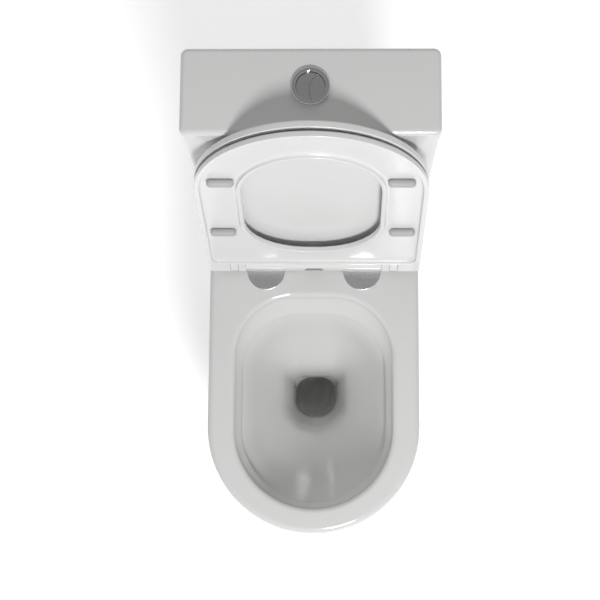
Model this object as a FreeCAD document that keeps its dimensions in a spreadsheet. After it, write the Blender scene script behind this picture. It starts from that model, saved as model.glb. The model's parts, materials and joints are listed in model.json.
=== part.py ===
"""Close coupled toilet: pan, cistern, flushing gear, soft close seat and lid.

X runs to the right, Y to the back, Z up. The origin is on the floor, under the middle of the whole.
Each size is a named cell of the sheet, and each sub-part is an object whose sizes are bound to it.
"""
import FreeCAD
import Part
import math
import os
import Sketcher

doc = FreeCAD.newDocument("close_coupled_toilet")
sheet = doc.addObject("Spreadsheet::Sheet", "Sizes")
Vector = FreeCAD.Vector


# --- sizes --------------------------------------------------------------------------------------

class Size:
    """A length with the expression that gives it, so that sums of sizes stay bound to the sheet."""

    def __init__(self, value, text):
        self.value = float(value)
        self.text = text

    def joined(self, other, sign, value):
        return Size(value, "(%s %s %s)" % (self.text, sign, text_of(other)))

    def __add__(self, other):
        return self.joined(other, "+", self.value + value_of(other))

    def __sub__(self, other):
        return self.joined(other, "-", self.value - value_of(other))

    def __mul__(self, other):
        return self.joined(other, "*", self.value * value_of(other))

    def __radd__(self, other):
        return Size(value_of(other) + self.value, "(%s + %s)" % (text_of(other), self.text))

    def __rsub__(self, other):
        return Size(value_of(other) - self.value, "(%s - %s)" % (text_of(other), self.text))

    def __rmul__(self, other):
        return Size(value_of(other) * self.value, "(%s * %s)" % (text_of(other), self.text))

    def __truediv__(self, other):
        return self.joined(other, "/", self.value / value_of(other))

    def __neg__(self):
        return Size(-self.value, "(0 - %s)" % self.text)


def value_of(length):
    return length.value if isinstance(length, Size) else float(length)


def text_of(length):
    return length.text if isinstance(length, Size) else "%.6f" % length


rows = []


def size(name, value, note):
    """Write one driving size into the sheet and return it."""
    rows.append(name)
    row = len(rows)
    sheet.set("A%d" % row, note)
    sheet.set("B%d" % row, str(value))
    sheet.setAlias("B%d" % row, name)
    return Size(value, "Sizes.%s" % name)


overall_depth = size("overall_depth", 680, "wall to the front of the rim")
pan_width = size("pan_width", 350, "pan, over the rim")
rim_height = size("rim_height", 405, "floor to the top of the rim")
rim_band = size("rim_band", 60, "upright band below the top of the rim")
rim_roof = size("rim_roof", 16, "thickness of the rim and of the shelf behind it")
rim_round = size("rim_round", 10, "rounding of the outer edge of the rim")
skirt_wall = size("skirt_wall", 12, "skirt")
skirt_corner = size("skirt_corner", 14, "upright corners at the wall")
foot_width = size("foot_width", 236, "skirt at the floor")
foot_set_back = size("foot_set_back", 92, "front of the foot behind the front of the rim")
bowl_wall = size("bowl_wall", 11, "bowl and trap")
bowl_width = size("bowl_width", 260, "opening of the bowl")
bowl_front = size("bowl_front", 41, "front of the opening from the front of the rim")
bowl_length = size("bowl_length", 349, "opening of the bowl, front to back")
ledge_depth = size("ledge_depth", 36, "flushing ledge below the top of the rim")
ledge_inset = size("ledge_inset", 9, "ledge inside the opening")
ledge_width = size("ledge_width", 7, "flat of the flushing ledge")
inlet_margin = size("inlet_margin", 20, "recess in the shelf round the flush inlet")
inlet_recess = size("inlet_recess", 9, "depth of that recess below the shelf")
waist_share = size("waist_share", 0.45, "height of the skirt's waist, as a share of the skirt")
waist_lean = size("waist_lean", 0.72, "set back of the waist, as a share of the foot's")
sump_width = size("sump_width", 104, "mouth of the sump")
sump_length = size("sump_length", 120, "mouth of the sump, front to back")
sump_front = size("sump_front", 186, "mouth of the sump from the front of the rim")
sump_drop = size("sump_drop", 175, "mouth of the sump below the top of the rim")
sump_bottom = size("sump_bottom", 74, "floor to the bottom of the sump")
trap_bore = size("trap_bore", 32, "radius of the trapway")
trap_crest = size("trap_crest", 222, "height of the middle of the trap's crest")
outlet_height = size("outlet_height", 180, "height of the middle of the outlet")
outlet_radius = size("outlet_radius", 51, "outside of the outlet spigot")
outlet_wall = size("outlet_wall", 10, "outlet spigot")
outlet_recess = size("outlet_recess", 22, "end of the outlet spigot from the wall")
outlet_length = size("outlet_length", 70, "straight length of the outlet spigot")
back_opening_width = size("back_opening_width", 210, "opening in the back of the skirt")
back_opening_height = size("back_opening_height", 300, "opening in the back of the skirt")

cistern_width = size("cistern_width", 374, "lid of the cistern")
cistern_depth = size("cistern_depth", 130, "lid of the cistern, wall to front")
cistern_height = size("cistern_height", 397, "bottom of the tank to the top of the lid")
shelf_gap = size("shelf_gap", 6, "tank above the shelf of the pan")
tank_wall = size("tank_wall", 9, "tank")
tank_floor = size("tank_floor", 14, "floor of the tank")
tank_reveal = size("tank_reveal", 1, "tank inside the edge of its lid")
cistern_corner = size("cistern_corner", 11, "upright corners of tank and lid")
lid_height = size("lid_height", 32, "edge of the cistern lid")
lid_skin = size("lid_skin", 9, "top and sides of the cistern lid")
lid_seam = size("lid_seam", 0.5, "lid above the rim of the tank, on its seating pads")
lid_lip = size("lid_lip", 8, "lip of the lid inside the tank")
lid_round = size("lid_round", 8, "rounding of the upper edge of the lid")

button_back = size("button_back", 58.4, "middle of the button and valve from the wall")
bezel_radius = size("bezel_radius", 28.6, "outside of the button's bezel")
bezel_height = size("bezel_height", 4.2, "bezel above the lid")
button_radius = size("button_radius", 20.8, "both halves of the button together")
button_gap = size("button_gap", 0.3, "running gap round each half of the button")
sleeve_radius = size("sleeve_radius", 24.4, "threaded sleeve below the bezel")
sleeve_length = size("sleeve_length", 38, "threaded sleeve below the lid's top")
split_radius = size("split_radius", 27.8, "curve that divides the button")
split_x = size("split_x", 26, "middle of that curve, to the right")
split_y = size("split_y", -6.4, "middle of that curve, to the back")
stem_radius = size("stem_radius", 2.2, "stems of the buttons")
stem_offset = size("stem_offset", 10, "stems from the middle of the button")
pad_offset = size("pad_offset", 44, "ends of the push rods from the middle")

inlet_offset = size("inlet_offset", 125, "fill valve to the left of the middle")
inlet_radius = size("inlet_radius", 10.48, "half inch tail of the fill valve")
inlet_tail = size("inlet_tail", 45, "tail below the tank")
valve_hole = size("valve_hole", 31, "hole in the tank for the flush valve")
valve_tail = size("valve_tail", 29.5, "threaded tail of the flush valve")
coupling_offset = size("coupling_offset", 80, "coupling bolts from the middle")
coupling_radius = size("coupling_radius", 4, "coupling bolts")
thread_gap = size("thread_gap", 0.1, "between a thread and its nut")
fit_gap = size("fit_gap", 0.06, "between a shaft and its bore")

hinge_back = size("hinge_back", 232.5, "hinge axis from the wall")
hinge_rise = size("hinge_rise", 20, "hinge axis above the rim")
open_angle = size("open_angle", 102.6, "raised seat from the closed seat")
disc_offset = size("disc_offset", 80, "hinge discs from the middle")
disc_forward = size("disc_forward", 15, "middle of the discs in front of the hinge axis")
disc_radius = size("disc_radius", 31.2, "hinge discs")
disc_height = size("disc_height", 4.5, "hinge discs")
seat_width = size("seat_width", 350, "seat and lid")
seat_reach = size("seat_reach", 446, "hinge axis to the front of the seat")
seat_tail = size("seat_tail", 12, "seat behind the hinge axis")
seat_under = size("seat_under", 14, "underside of the seat below the hinge axis")
seat_thick = size("seat_thick", 10, "seat ring")
seat_hole_width = size("seat_hole_width", 211, "opening of the seat")
seat_hole_front = size("seat_hole_front", 69, "opening from the front of the seat")
seat_hole_length = size("seat_hole_length", 310, "opening of the seat, front to back")
seat_lip = size("seat_lip", 8, "lip round the underside of the seat")
seat_recess = size("seat_recess", 6, "depth of the recess in the underside")
cover_gap = size("cover_gap", 5, "closed lid above the seat")
cover_thick = size("cover_thick", 12, "lid of the seat")
cover_recess = size("cover_recess", 6, "recess inside the lid of the seat")
bar_radius = size("bar_radius", 14, "hinge bar")
bar_half = size("bar_half", 112.3, "half the length of the hinge bar")
knuckle_length = size("knuckle_length", 12.6, "each knuckle of the seat and the lid")
knuckle_gap = size("knuckle_gap", 0.4, "between knuckles")
pin_radius = size("pin_radius", 4, "hinge pins")
damper_radius = size("damper_radius", 8, "soft close dampers inside the bar")
damper_length = size("damper_length", 24, "soft close dampers inside the bar")
bumper_length = size("bumper_length", 41, "seat bumpers")
bumper_width = size("bumper_width", 13, "seat bumpers")
rest_gap = size("rest_gap", 0.3, "between soft rests and what they rest on")

# places that follow from the sizes
wall = overall_depth / 2
front = -wall
shelf = rim_height
tank_bottom = shelf + shelf_gap
tank_inside = tank_bottom + tank_floor
cistern_top = tank_bottom + cistern_height
tank_top = cistern_top - lid_height - lid_seam
valve_y = wall - button_back
hinge_y = wall - hinge_back
hinge_z = rim_height + hinge_rise
mouth_half = bowl_width / 2
mouth_front = front + bowl_front
mouth_back = mouth_front + bowl_length
mouth_corner = bowl_width * 0.25
step_corner = bowl_width * 0.28

nodes = []


# --- drawing tools ------------------------------------------------------------------------------

def bind(target, path, length):
    """Bind a property of an object to the sheet."""
    target.setExpression(path, text_of(length))


def new_body(label):
    body = doc.addObject("PartDesign::Body", label)
    body.Label = label
    return body


def keep(piece, label=None):
    """Name a finished sub-part and list it for writing."""
    if label:
        piece.Label = label
    nodes.append(piece)
    return piece


def place(piece, x=0.0, y=0.0, z=0.0):
    """Put a piece where the sizes say."""
    piece.Placement.Base = Vector(value_of(x), value_of(y), value_of(z))
    for letter, length in zip("xyz", (x, y, z)):
        if isinstance(length, Size):
            bind(piece, "Placement.Base.%s" % letter, length)
    return piece


def new_sketch(body, plane, offset=0.0):
    """A sketch on one of the body's own planes, moved along the plane's normal."""
    sketch = body.newObject("Sketcher::SketchObject", "Sketch")
    face = [item for item in body.Origin.OriginFeatures if item.Role == plane + "_Plane"][0]
    sketch.AttachmentSupport = [(face, "")]
    sketch.MapMode = "FlatFace"
    sketch.AttachmentOffset = FreeCAD.Placement(Vector(0, 0, value_of(offset)), FreeCAD.Rotation())
    if isinstance(offset, Size):
        bind(sketch, "AttachmentOffset.Base.z", offset)
    return sketch


def fix_length(sketch, kind, arguments, length):
    """Add one dimension and bind it."""
    index = sketch.addConstraint(Sketcher.Constraint(kind, *arguments, value_of(length)))
    if isinstance(length, Size):
        bind(sketch, "Constraints[%d]" % index, length)


def fix_point(sketch, curve, end, x, y):
    """Hold one point of the sketch at x, y."""
    if value_of(x) == 0.0:
        sketch.addConstraint(Sketcher.Constraint("PointOnObject", curve, end, -2))
    else:
        fix_length(sketch, "DistanceX", (-1, 1, curve, end), x)
    if value_of(y) == 0.0:
        sketch.addConstraint(Sketcher.Constraint("PointOnObject", curve, end, -1))
    else:
        fix_length(sketch, "DistanceY", (-1, 1, curve, end), y)


def draw_circle(sketch, x, y, radius):
    centre = Vector(value_of(x), value_of(y), 0)
    circle = sketch.addGeometry(Part.Circle(centre, Vector(0, 0, 1), value_of(radius)), False)
    fix_point(sketch, circle, 3, x, y)
    fix_length(sketch, "Radius", (circle,), radius)


def draw_path(sketch, points, radii=None, closed=True):
    """Straight lines through the points, with a tangent arc at each corner that has a radius."""
    count = len(points)
    radii = radii or [0.0] * count
    at = [Vector(value_of(x), value_of(y), 0) for x, y in points]
    starts = list(at)
    ends = list(at)
    arcs = {}
    for i in range(count):
        radius = value_of(radii[i])
        if radius == 0.0:
            continue
        back = (at[i - 1] - at[i]).normalize()
        ahead = (at[(i + 1) % count] - at[i]).normalize()
        half = back.getAngle(ahead) / 2
        ends[i] = at[i] + back * (radius / math.tan(half))
        starts[i] = at[i] + ahead * (radius / math.tan(half))
        centre = at[i] + (back + ahead).normalize() * (radius / math.sin(half))
        turns_left = back.cross(ahead).z < 0
        first, last = (ends[i], starts[i]) if turns_left else (starts[i], ends[i])
        angles = [math.atan2(p.y - centre.y, p.x - centre.x) for p in (first, last)]
        if angles[1] < angles[0]:
            angles[1] += 2 * math.pi
        circle = Part.Circle(centre, Vector(0, 0, 1), radius)
        arcs[i] = (Part.ArcOfCircle(circle, angles[0], angles[1]), 1 if turns_left else 2)
    last_line = count if closed else count - 1
    lines = []
    for i in range(last_line):
        segment = Part.LineSegment(starts[i], ends[(i + 1) % count])
        lines.append(sketch.addGeometry(segment, False))
    for i in range(count):
        before = lines[i - 1] if closed or i > 0 else None
        after = lines[i] if closed or i < count - 1 else None
        x, y = points[i]
        if i in arcs:
            arc, arc_start = arcs[i]
            curve = sketch.addGeometry(arc, False)
            corner = sketch.addGeometry(Part.Point(at[i]), True)
            fix_point(sketch, corner, 1, x, y)
            sketch.addConstraint(Sketcher.Constraint("PointOnObject", corner, 1, before))
            sketch.addConstraint(Sketcher.Constraint("PointOnObject", corner, 1, after))
            sketch.addConstraint(Sketcher.Constraint("Tangent", before, 2, curve, arc_start))
            sketch.addConstraint(Sketcher.Constraint("Tangent", curve, 3 - arc_start, after, 1))
            fix_length(sketch, "Radius", (curve,), radii[i])
            continue
        if before is not None and after is not None:
            sketch.addConstraint(Sketcher.Constraint("Coincident", before, 2, after, 1))
        if after is not None:
            fix_point(sketch, after, 1, x, y)
        else:
            fix_point(sketch, before, 2, x, y)


def draw_rectangle(sketch, left, right, low, high, radius=0.0):
    corners = [(left, low), (right, low), (right, high), (left, high)]
    draw_path(sketch, corners, [radius] * 4)


def draw_horseshoe(sketch, half, near, far, corner):
    """A round front of the full width at near, straight sides, and rounded corners at far."""
    width, low, high, radius = (value_of(item) for item in (half, near, far, corner))
    middle = low + width
    up = Vector(0, 0, 1)
    rear = sketch.addGeometry(Part.LineSegment(
        Vector(width - radius, high, 0), Vector(radius - width, high, 0)), False)
    left_corner = sketch.addGeometry(Part.ArcOfCircle(
        Part.Circle(Vector(radius - width, high - radius, 0), up, radius), math.pi / 2, math.pi), False)
    left = sketch.addGeometry(Part.LineSegment(
        Vector(-width, high - radius, 0), Vector(-width, middle, 0)), False)
    nose = sketch.addGeometry(Part.ArcOfCircle(
        Part.Circle(Vector(0, middle, 0), up, width), math.pi, 2 * math.pi), False)
    right = sketch.addGeometry(Part.LineSegment(
        Vector(width, middle, 0), Vector(width, high - radius, 0)), False)
    right_corner = sketch.addGeometry(Part.ArcOfCircle(
        Part.Circle(Vector(width - radius, high - radius, 0), up, radius), 0, math.pi / 2), False)
    order = [rear, left_corner, left, nose, right, right_corner]
    for here, following in zip(order, order[1:] + order[:1]):
        sketch.addConstraint(Sketcher.Constraint("Tangent", here, 2, following, 1))
    sketch.addConstraint(Sketcher.Constraint("Horizontal", rear))
    sketch.addConstraint(Sketcher.Constraint("Vertical", left))
    sketch.addConstraint(Sketcher.Constraint("Vertical", right))
    sketch.addConstraint(Sketcher.Constraint("Equal", left_corner, right_corner))
    fix_length(sketch, "Radius", (right_corner,), corner)
    fix_length(sketch, "DistanceX", (-1, 1, right, 1), half)
    fix_length(sketch, "DistanceX", (-1, 1, left, 1), -half)
    fix_length(sketch, "DistanceY", (-1, 1, rear, 1), far)
    fix_length(sketch, "DistanceY", (-1, 1, nose, 3), near + half)


def pad(body, sketch, length):
    """Add material along the sketch's normal."""
    feature = body.newObject("PartDesign::Pad", "Pad")
    feature.Profile = sketch
    feature.Length = value_of(length)
    bind(feature, "Length", length)
    return feature


def pocket(body, sketch, depth, forward=False):
    """Cut against the sketch's normal, or along it."""
    feature = body.newObject("PartDesign::Pocket", "Pocket")
    feature.Profile = sketch
    feature.Length = value_of(depth)
    bind(feature, "Length", depth)
    feature.Reversed = forward
    return feature


def turn(body, sketch):
    """Revolve a profile round the sketch's upright axis."""
    feature = body.newObject("PartDesign::Revolution", "Revolution")
    feature.Profile = sketch
    feature.ReferenceAxis = (sketch, ["V_Axis"])
    feature.Angle = 360
    return feature


def loft(body, sketches, cut=False, ruled=False):
    kind = "PartDesign::SubtractiveLoft" if cut else "PartDesign::AdditiveLoft"
    feature = body.newObject(kind, "Loft")
    feature.Profile = sketches[0]
    feature.Sections = sketches[1:]
    feature.Ruled = ruled
    return feature


def pipe(body, profile, spine, cut=False):
    kind = "PartDesign::SubtractivePipe" if cut else "PartDesign::AdditivePipe"
    feature = body.newObject(kind, "Pipe")
    feature.Profile = profile
    feature.Spine = spine
    return feature


def round_edges(body, base, radius, wanted):
    """Fillet the edges of the last feature that the test picks."""
    doc.recompute()
    names = []
    for number, edge in enumerate(base.Shape.Edges, 1):
        if wanted(edge):
            names.append("Edge%d" % number)
    feature = body.newObject("PartDesign::Fillet", "Fillet")
    feature.Base = (base, names)
    feature.Radius = value_of(radius)
    bind(feature, "Radius", radius)
    return feature


def on_level(edge, height):
    """Whether the whole edge lies at a height."""
    box = edge.BoundBox
    return max(abs(box.ZMin - value_of(height)), abs(box.ZMax - value_of(height))) < 0.01


def turned(label, profile):
    """A round piece from its half section: radius and height of each corner."""
    body = new_body(label)
    sketch = new_sketch(body, "XZ")
    draw_path(sketch, profile)
    turn(body, sketch)
    return body


def ring(label, inner, outer, low, high):
    """A plain ring or washer."""
    return turned(label, [(inner, low), (outer, low), (outer, high), (inner, high)])


def mirrored_pair(label, piece):
    """A piece and its mirror image left to right, as one sub-part of two solids."""
    twin = doc.addObject("Part::Mirroring", label + "_twin")
    twin.Source = piece
    twin.Normal = Vector(1, 0, 0)
    group = doc.addObject("Part::Compound", label + "_pair")
    group.Links = [piece, twin]
    piece.Label = label + "_one"
    return keep(group, label)


def coil_spring(label, radius, wire, height, turns):
    """A helical spring that stands on its own origin."""
    body = new_body(label)
    section = new_sketch(body, "XZ")
    draw_circle(section, radius, 0.0, wire)
    feature = body.newObject("PartDesign::AdditiveHelix", "Helix")
    feature.Profile = section
    feature.ReferenceAxis = (section, ["V_Axis"])
    feature.Mode = "height-turns-angle"
    feature.Turns = turns
    feature.Height = value_of(height)
    bind(feature, "Height", height)
    return body


# --- ceramic ------------------------------------------------------------------------------------

def horseshoe_at(body, height, half, near, far, corner):
    sketch = new_sketch(body, "XY", height)
    draw_horseshoe(sketch, half, near, far, corner)
    return sketch


def trap_path(body):
    """The middle of the trapway: out of the sump, over the crest and down to the outlet."""
    sketch = new_sketch(body, "YZ")
    low = sump_bottom + trap_bore
    points = [
        (front + sump_front + 45, low),
        (front + sump_front + 165, low),
        (front + sump_front + 220, trap_crest),
        (wall - 190, trap_crest),
        (wall - 140, outlet_height),
        (wall - outlet_recess - outlet_length + 10, outlet_height),
    ]
    draw_path(sketch, points, [0, 58, 58, 48, 48, 0], closed=False)
    return sketch


def round_at(body, height, radius, back):
    """A circle on an upright plane that faces the wall, at a distance behind the origin."""
    sketch = new_sketch(body, "XZ", -back)
    draw_circle(sketch, 0.0, height, radius)
    return sketch


def make_pan():
    """The rim, shelf and skirt: one casting, open beneath and at the back."""
    body = new_body("pan")
    half = pan_width / 2
    foot = foot_width / 2
    waist_half = (half + foot * 3) / 4
    band_z = rim_height - rim_band
    waist_z = band_z * waist_share
    foot_front = front + foot_set_back
    waist_front = front + foot_set_back * waist_lean

    band = pad(body, horseshoe_at(body, band_z, half, front, wall, skirt_corner), rim_band)
    round_edges(body, band, rim_round, lambda edge: on_level(edge, rim_height))
    loft(body, [horseshoe_at(body, 0.0, foot, foot_front, wall, skirt_corner),
                horseshoe_at(body, waist_z, waist_half, waist_front, wall, skirt_corner),
                horseshoe_at(body, band_z, half, front, wall, skirt_corner)])

    inner = skirt_wall
    corner = skirt_corner / 2
    void = horseshoe_at(body, band_z, half - inner, front + inner, wall - inner, corner)
    pocket(body, void, rim_band - rim_roof, forward=True)
    loft(body, [horseshoe_at(body, 0.0, foot - inner, foot_front + inner, wall - inner, corner),
                horseshoe_at(body, waist_z, waist_half - inner, waist_front + inner, wall - inner, corner),
                horseshoe_at(body, band_z, half - inner, front + inner, wall - inner, corner)], cut=True)

    pocket(body, horseshoe_at(body, rim_height, mouth_half, mouth_front, mouth_back, mouth_corner),
           rim_roof + 1)

    back = new_sketch(body, "XZ", -wall)
    draw_rectangle(back, -back_opening_width / 2, back_opening_width / 2, 0.0, back_opening_height, 0.0)
    pocket(body, back, inner + 2, forward=True)

    inlet = new_sketch(body, "XY", rim_height)
    draw_circle(inlet, 0.0, valve_y, valve_hole + inlet_margin)
    pocket(body, inlet, rim_roof + inlet_recess)

    holes = new_sketch(body, "XY", rim_height)
    draw_circle(holes, -inlet_offset, valve_y, inlet_radius + 13)
    for side in (-1, 1):
        draw_circle(holes, disc_offset * side, hinge_y - disc_forward, seat_hole_radius)
        draw_circle(holes, coupling_offset * side, valve_y, coupling_radius + 2)
    pocket(body, holes, rim_roof + 1)

    screws = new_sketch(body, "YZ", -pan_width)
    draw_circle(screws, bracket_y, screw_height, 3.2)
    pocket(body, screws, pan_width * 2, forward=True)
    return keep(body)


def make_bowl():
    """The bowl with its flush channel, trapway and outlet, joined to the underside of the rim."""
    body = new_body("bowl_and_trap")
    roof_z = rim_height - rim_roof
    ledge_z = rim_height - ledge_depth
    channel_floor = ledge_z - bowl_wall
    sump_near = front + sump_front
    sump_far = sump_near + sump_length
    trap_z = sump_bottom + trap_bore
    stations = [
        (ledge_z, mouth_half - ledge_inset - ledge_width, mouth_front + ledge_inset + ledge_width,
         mouth_back - ledge_inset * 2 - ledge_width, step_corner),
        (ledge_z - 62, mouth_half * 0.69, mouth_front + 62, mouth_back - 50, bowl_width * 0.2),
        (rim_height - sump_drop, sump_width / 2, sump_near, sump_far, sump_width * 0.22),
        (sump_bottom + 46, sump_width * 0.37, sump_near + 24, sump_far - 6, sump_width * 0.2),
        (sump_bottom, sump_width * 0.33, sump_near + 32, sump_far - 8, sump_width * 0.2),
    ]
    base = stations[-1]
    outside = stations[:-1] + [(base[0] - bowl_wall,) + base[1:]]

    pad(body, horseshoe_at(body, channel_floor, mouth_half + bowl_wall, mouth_front - bowl_wall,
                           mouth_back + bowl_wall, mouth_corner), roof_z - channel_floor)
    loft(body, [horseshoe_at(body, height, width + bowl_wall, near - bowl_wall, far + bowl_wall,
                             corner + bowl_wall)
                for height, width, near, far, corner in outside], ruled=True)
    pipe(body, round_at(body, trap_z, trap_bore + bowl_wall, sump_near + 45), trap_path(body))
    pad(body, round_at(body, outlet_height, outlet_radius, wall - outlet_recess), outlet_length)

    duct = new_sketch(body, "XY", channel_floor)
    draw_rectangle(duct, -valve_hole - 16, valve_hole + 16, mouth_back - 10, wall - skirt_wall)
    pad(body, duct, roof_z - channel_floor)

    pocket(body, horseshoe_at(body, roof_z, mouth_half - ledge_inset, mouth_front + ledge_inset,
                              mouth_back - ledge_inset * 2, step_corner), roof_z - ledge_z)
    loft(body, [horseshoe_at(body, *station) for station in stations], cut=True, ruled=True)
    pipe(body, round_at(body, trap_z, trap_bore, sump_near + 45), trap_path(body), cut=True)
    pocket(body, round_at(body, outlet_height, outlet_radius - outlet_wall, wall - outlet_recess),
           outlet_length - 4, forward=True)

    inlet = new_sketch(body, "XY", roof_z)
    draw_circle(inlet, 0.0, valve_y, valve_hole + inlet_margin)
    pocket(body, inlet, inlet_recess)
    well = new_sketch(body, "XY", roof_z)
    draw_circle(well, 0.0, valve_y, valve_hole)
    pocket(body, well, roof_z - ledge_z)
    channel = new_sketch(body, "XZ", -valve_y)
    draw_rectangle(channel, -valve_hole + 8, valve_hole - 8, ledge_z + 0.5, roof_z - 4)
    pocket(body, channel, valve_y - mouth_back + 30, forward=True)
    return keep(body)


def make_tank():
    body = new_body("cistern_tank")
    half = cistern_width / 2 - tank_reveal
    near = wall - cistern_depth + tank_reveal
    outline = new_sketch(body, "XY", tank_bottom)
    draw_rectangle(outline, -half, half, near, wall, cistern_corner)
    pad(body, outline, tank_top - tank_bottom)
    inside = new_sketch(body, "XY", tank_top)
    draw_rectangle(inside, -half + tank_wall, half - tank_wall, near + tank_wall, wall - tank_wall,
                   cistern_corner / 2)
    pocket(body, inside, tank_top - tank_inside)
    holes = new_sketch(body, "XY", tank_inside)
    draw_circle(holes, 0.0, valve_y, valve_hole)
    draw_circle(holes, -inlet_offset, valve_y, inlet_radius + 1)
    for side in (-1, 1):
        draw_circle(holes, coupling_offset * side, valve_y, coupling_radius + 1.5)
    pocket(body, holes, tank_floor + 1)
    return keep(body)


def make_cistern_lid():
    body = new_body("cistern_lid")
    half = cistern_width / 2
    near = wall - cistern_depth
    inner = lid_skin
    outline = new_sketch(body, "XY", cistern_top - lid_height)
    draw_rectangle(outline, -half, half, near, wall, cistern_corner)
    slab = pad(body, outline, lid_height)
    top = cistern_top.value

    def upper(edge):
        return all(abs(vertex.Z - top) < 0.01 for vertex in edge.Vertexes)

    round_edges(body, slab, lid_round, upper)
    hollow = new_sketch(body, "XY", cistern_top - lid_height)
    draw_rectangle(hollow, -half + inner, half - inner, near + inner, wall - inner, cistern_corner / 2)
    pocket(body, hollow, lid_height - lid_skin, forward=True)
    lip_out = tank_reveal + tank_wall + 1.5
    lip_in = lip_out + 4
    lip = new_sketch(body, "XY", cistern_top - lid_height - lid_lip)
    draw_rectangle(lip, -half + lip_out, half - lip_out, near + lip_out, wall - lip_out,
                   cistern_corner / 4)
    draw_rectangle(lip, -half + lip_in, half - lip_in, near + lip_in, wall - lip_in,
                   cistern_corner / 8)
    pad(body, lip, lid_height + lid_lip - lid_skin / 2)
    pads = new_sketch(body, "XY", cistern_top - lid_height - lid_seam)
    for side in (-1, 1):
        inset = tank_reveal + 2
        for y in (near + inset, wall - inset - 6):
            draw_rectangle(pads, half * side * 0.7 - 6, half * side * 0.7 + 6, y, y + 6)
    pad(body, pads, lid_seam + 2)
    hole = new_sketch(body, "XY", cistern_top)
    draw_circle(hole, 0.0, valve_y, sleeve_radius + 0.6)
    pocket(body, hole, lid_skin + 1)
    return keep(body)


# --- coupling of tank and pan -------------------------------------------------------------------

def make_coupling():
    gasket_out = valve_hole + 18.5
    nut_out = valve_hole + 11
    low = rim_height - rim_roof - 9
    gasket = turned("coupling_gasket", [
        (valve_tail + 2, low + 0.1), (gasket_out, low + 0.1), (gasket_out, tank_bottom - 0.1),
        (nut_out + 1.5, tank_bottom - 0.1), (nut_out + 1.5, tank_bottom - 14), (valve_tail + 2, tank_bottom - 14)])
    keep(place(gasket, 0.0, valve_y))

    bolt = turned("coupling_bolt", [
        (0.0, 0.0), (coupling_radius, 0.0), (coupling_radius, 56), (10, 56), (10, 59), (7.5, 61), (0.0, 61)])
    place(bolt, coupling_offset, valve_y, tank_inside + 4 - 56)
    mirrored_pair("coupling_bolts", bolt)
    seal = ring("coupling_seal", coupling_radius + fit_gap, 13, 0.0, 4)
    place(seal, coupling_offset, valve_y, tank_inside)
    mirrored_pair("coupling_bolt_seals", seal)
    washer = ring("coupling_washer", coupling_radius + 0.3, 12, -2, 0.0)
    place(washer, coupling_offset, valve_y, rim_height - rim_roof)
    mirrored_pair("coupling_washers", washer)
    nut = wing_nut("coupling_wing_nut", coupling_radius)
    place(nut, coupling_offset, valve_y, rim_height - rim_roof - 2)
    mirrored_pair("coupling_wing_nuts", nut)


def wing_nut(label, bolt_radius):
    """A wing nut that hangs below its own origin."""
    body = new_body(label)
    boss = new_sketch(body, "XY", -9)
    draw_circle(boss, 0.0, 0.0, bolt_radius + 5)
    pad(body, boss, 9)
    wings = new_sketch(body, "XZ", -1.5)
    reach = bolt_radius + 17
    draw_path(wings, [(-reach, -16), (-reach + 8, -16), (-bolt_radius - 2, -8), (bolt_radius + 2, -8),
                      (reach - 8, -16), (reach, -16), (reach, -10), (bolt_radius + 3, -2),
                      (-bolt_radius - 3, -2), (-reach, -10)])
    pad(body, wings, 3)
    bore = new_sketch(body, "XY", 0.0)
    draw_circle(bore, 0.0, 0.0, bolt_radius + thread_gap)
    pocket(body, bore, 12)
    return body


# --- flushing gear ------------------------------------------------------------------------------

guide_height = size("guide_height", 250, "guide of the flush valve above the tank's floor")
piston_radius = size("piston_radius", 12.5, "overflow tube of the flush valve")
lever_pivot = size("lever_pivot", 24, "pivots of the flush levers from the middle")
seat_hole_radius = size("seat_hole_radius", 7.5, "holes in the shelf for the seat")
screw_height = size("screw_height", 34, "side screws above the floor")
bracket_back = size("bracket_back", 250, "floor brackets from the wall")
bracket_y = wall - bracket_back


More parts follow.
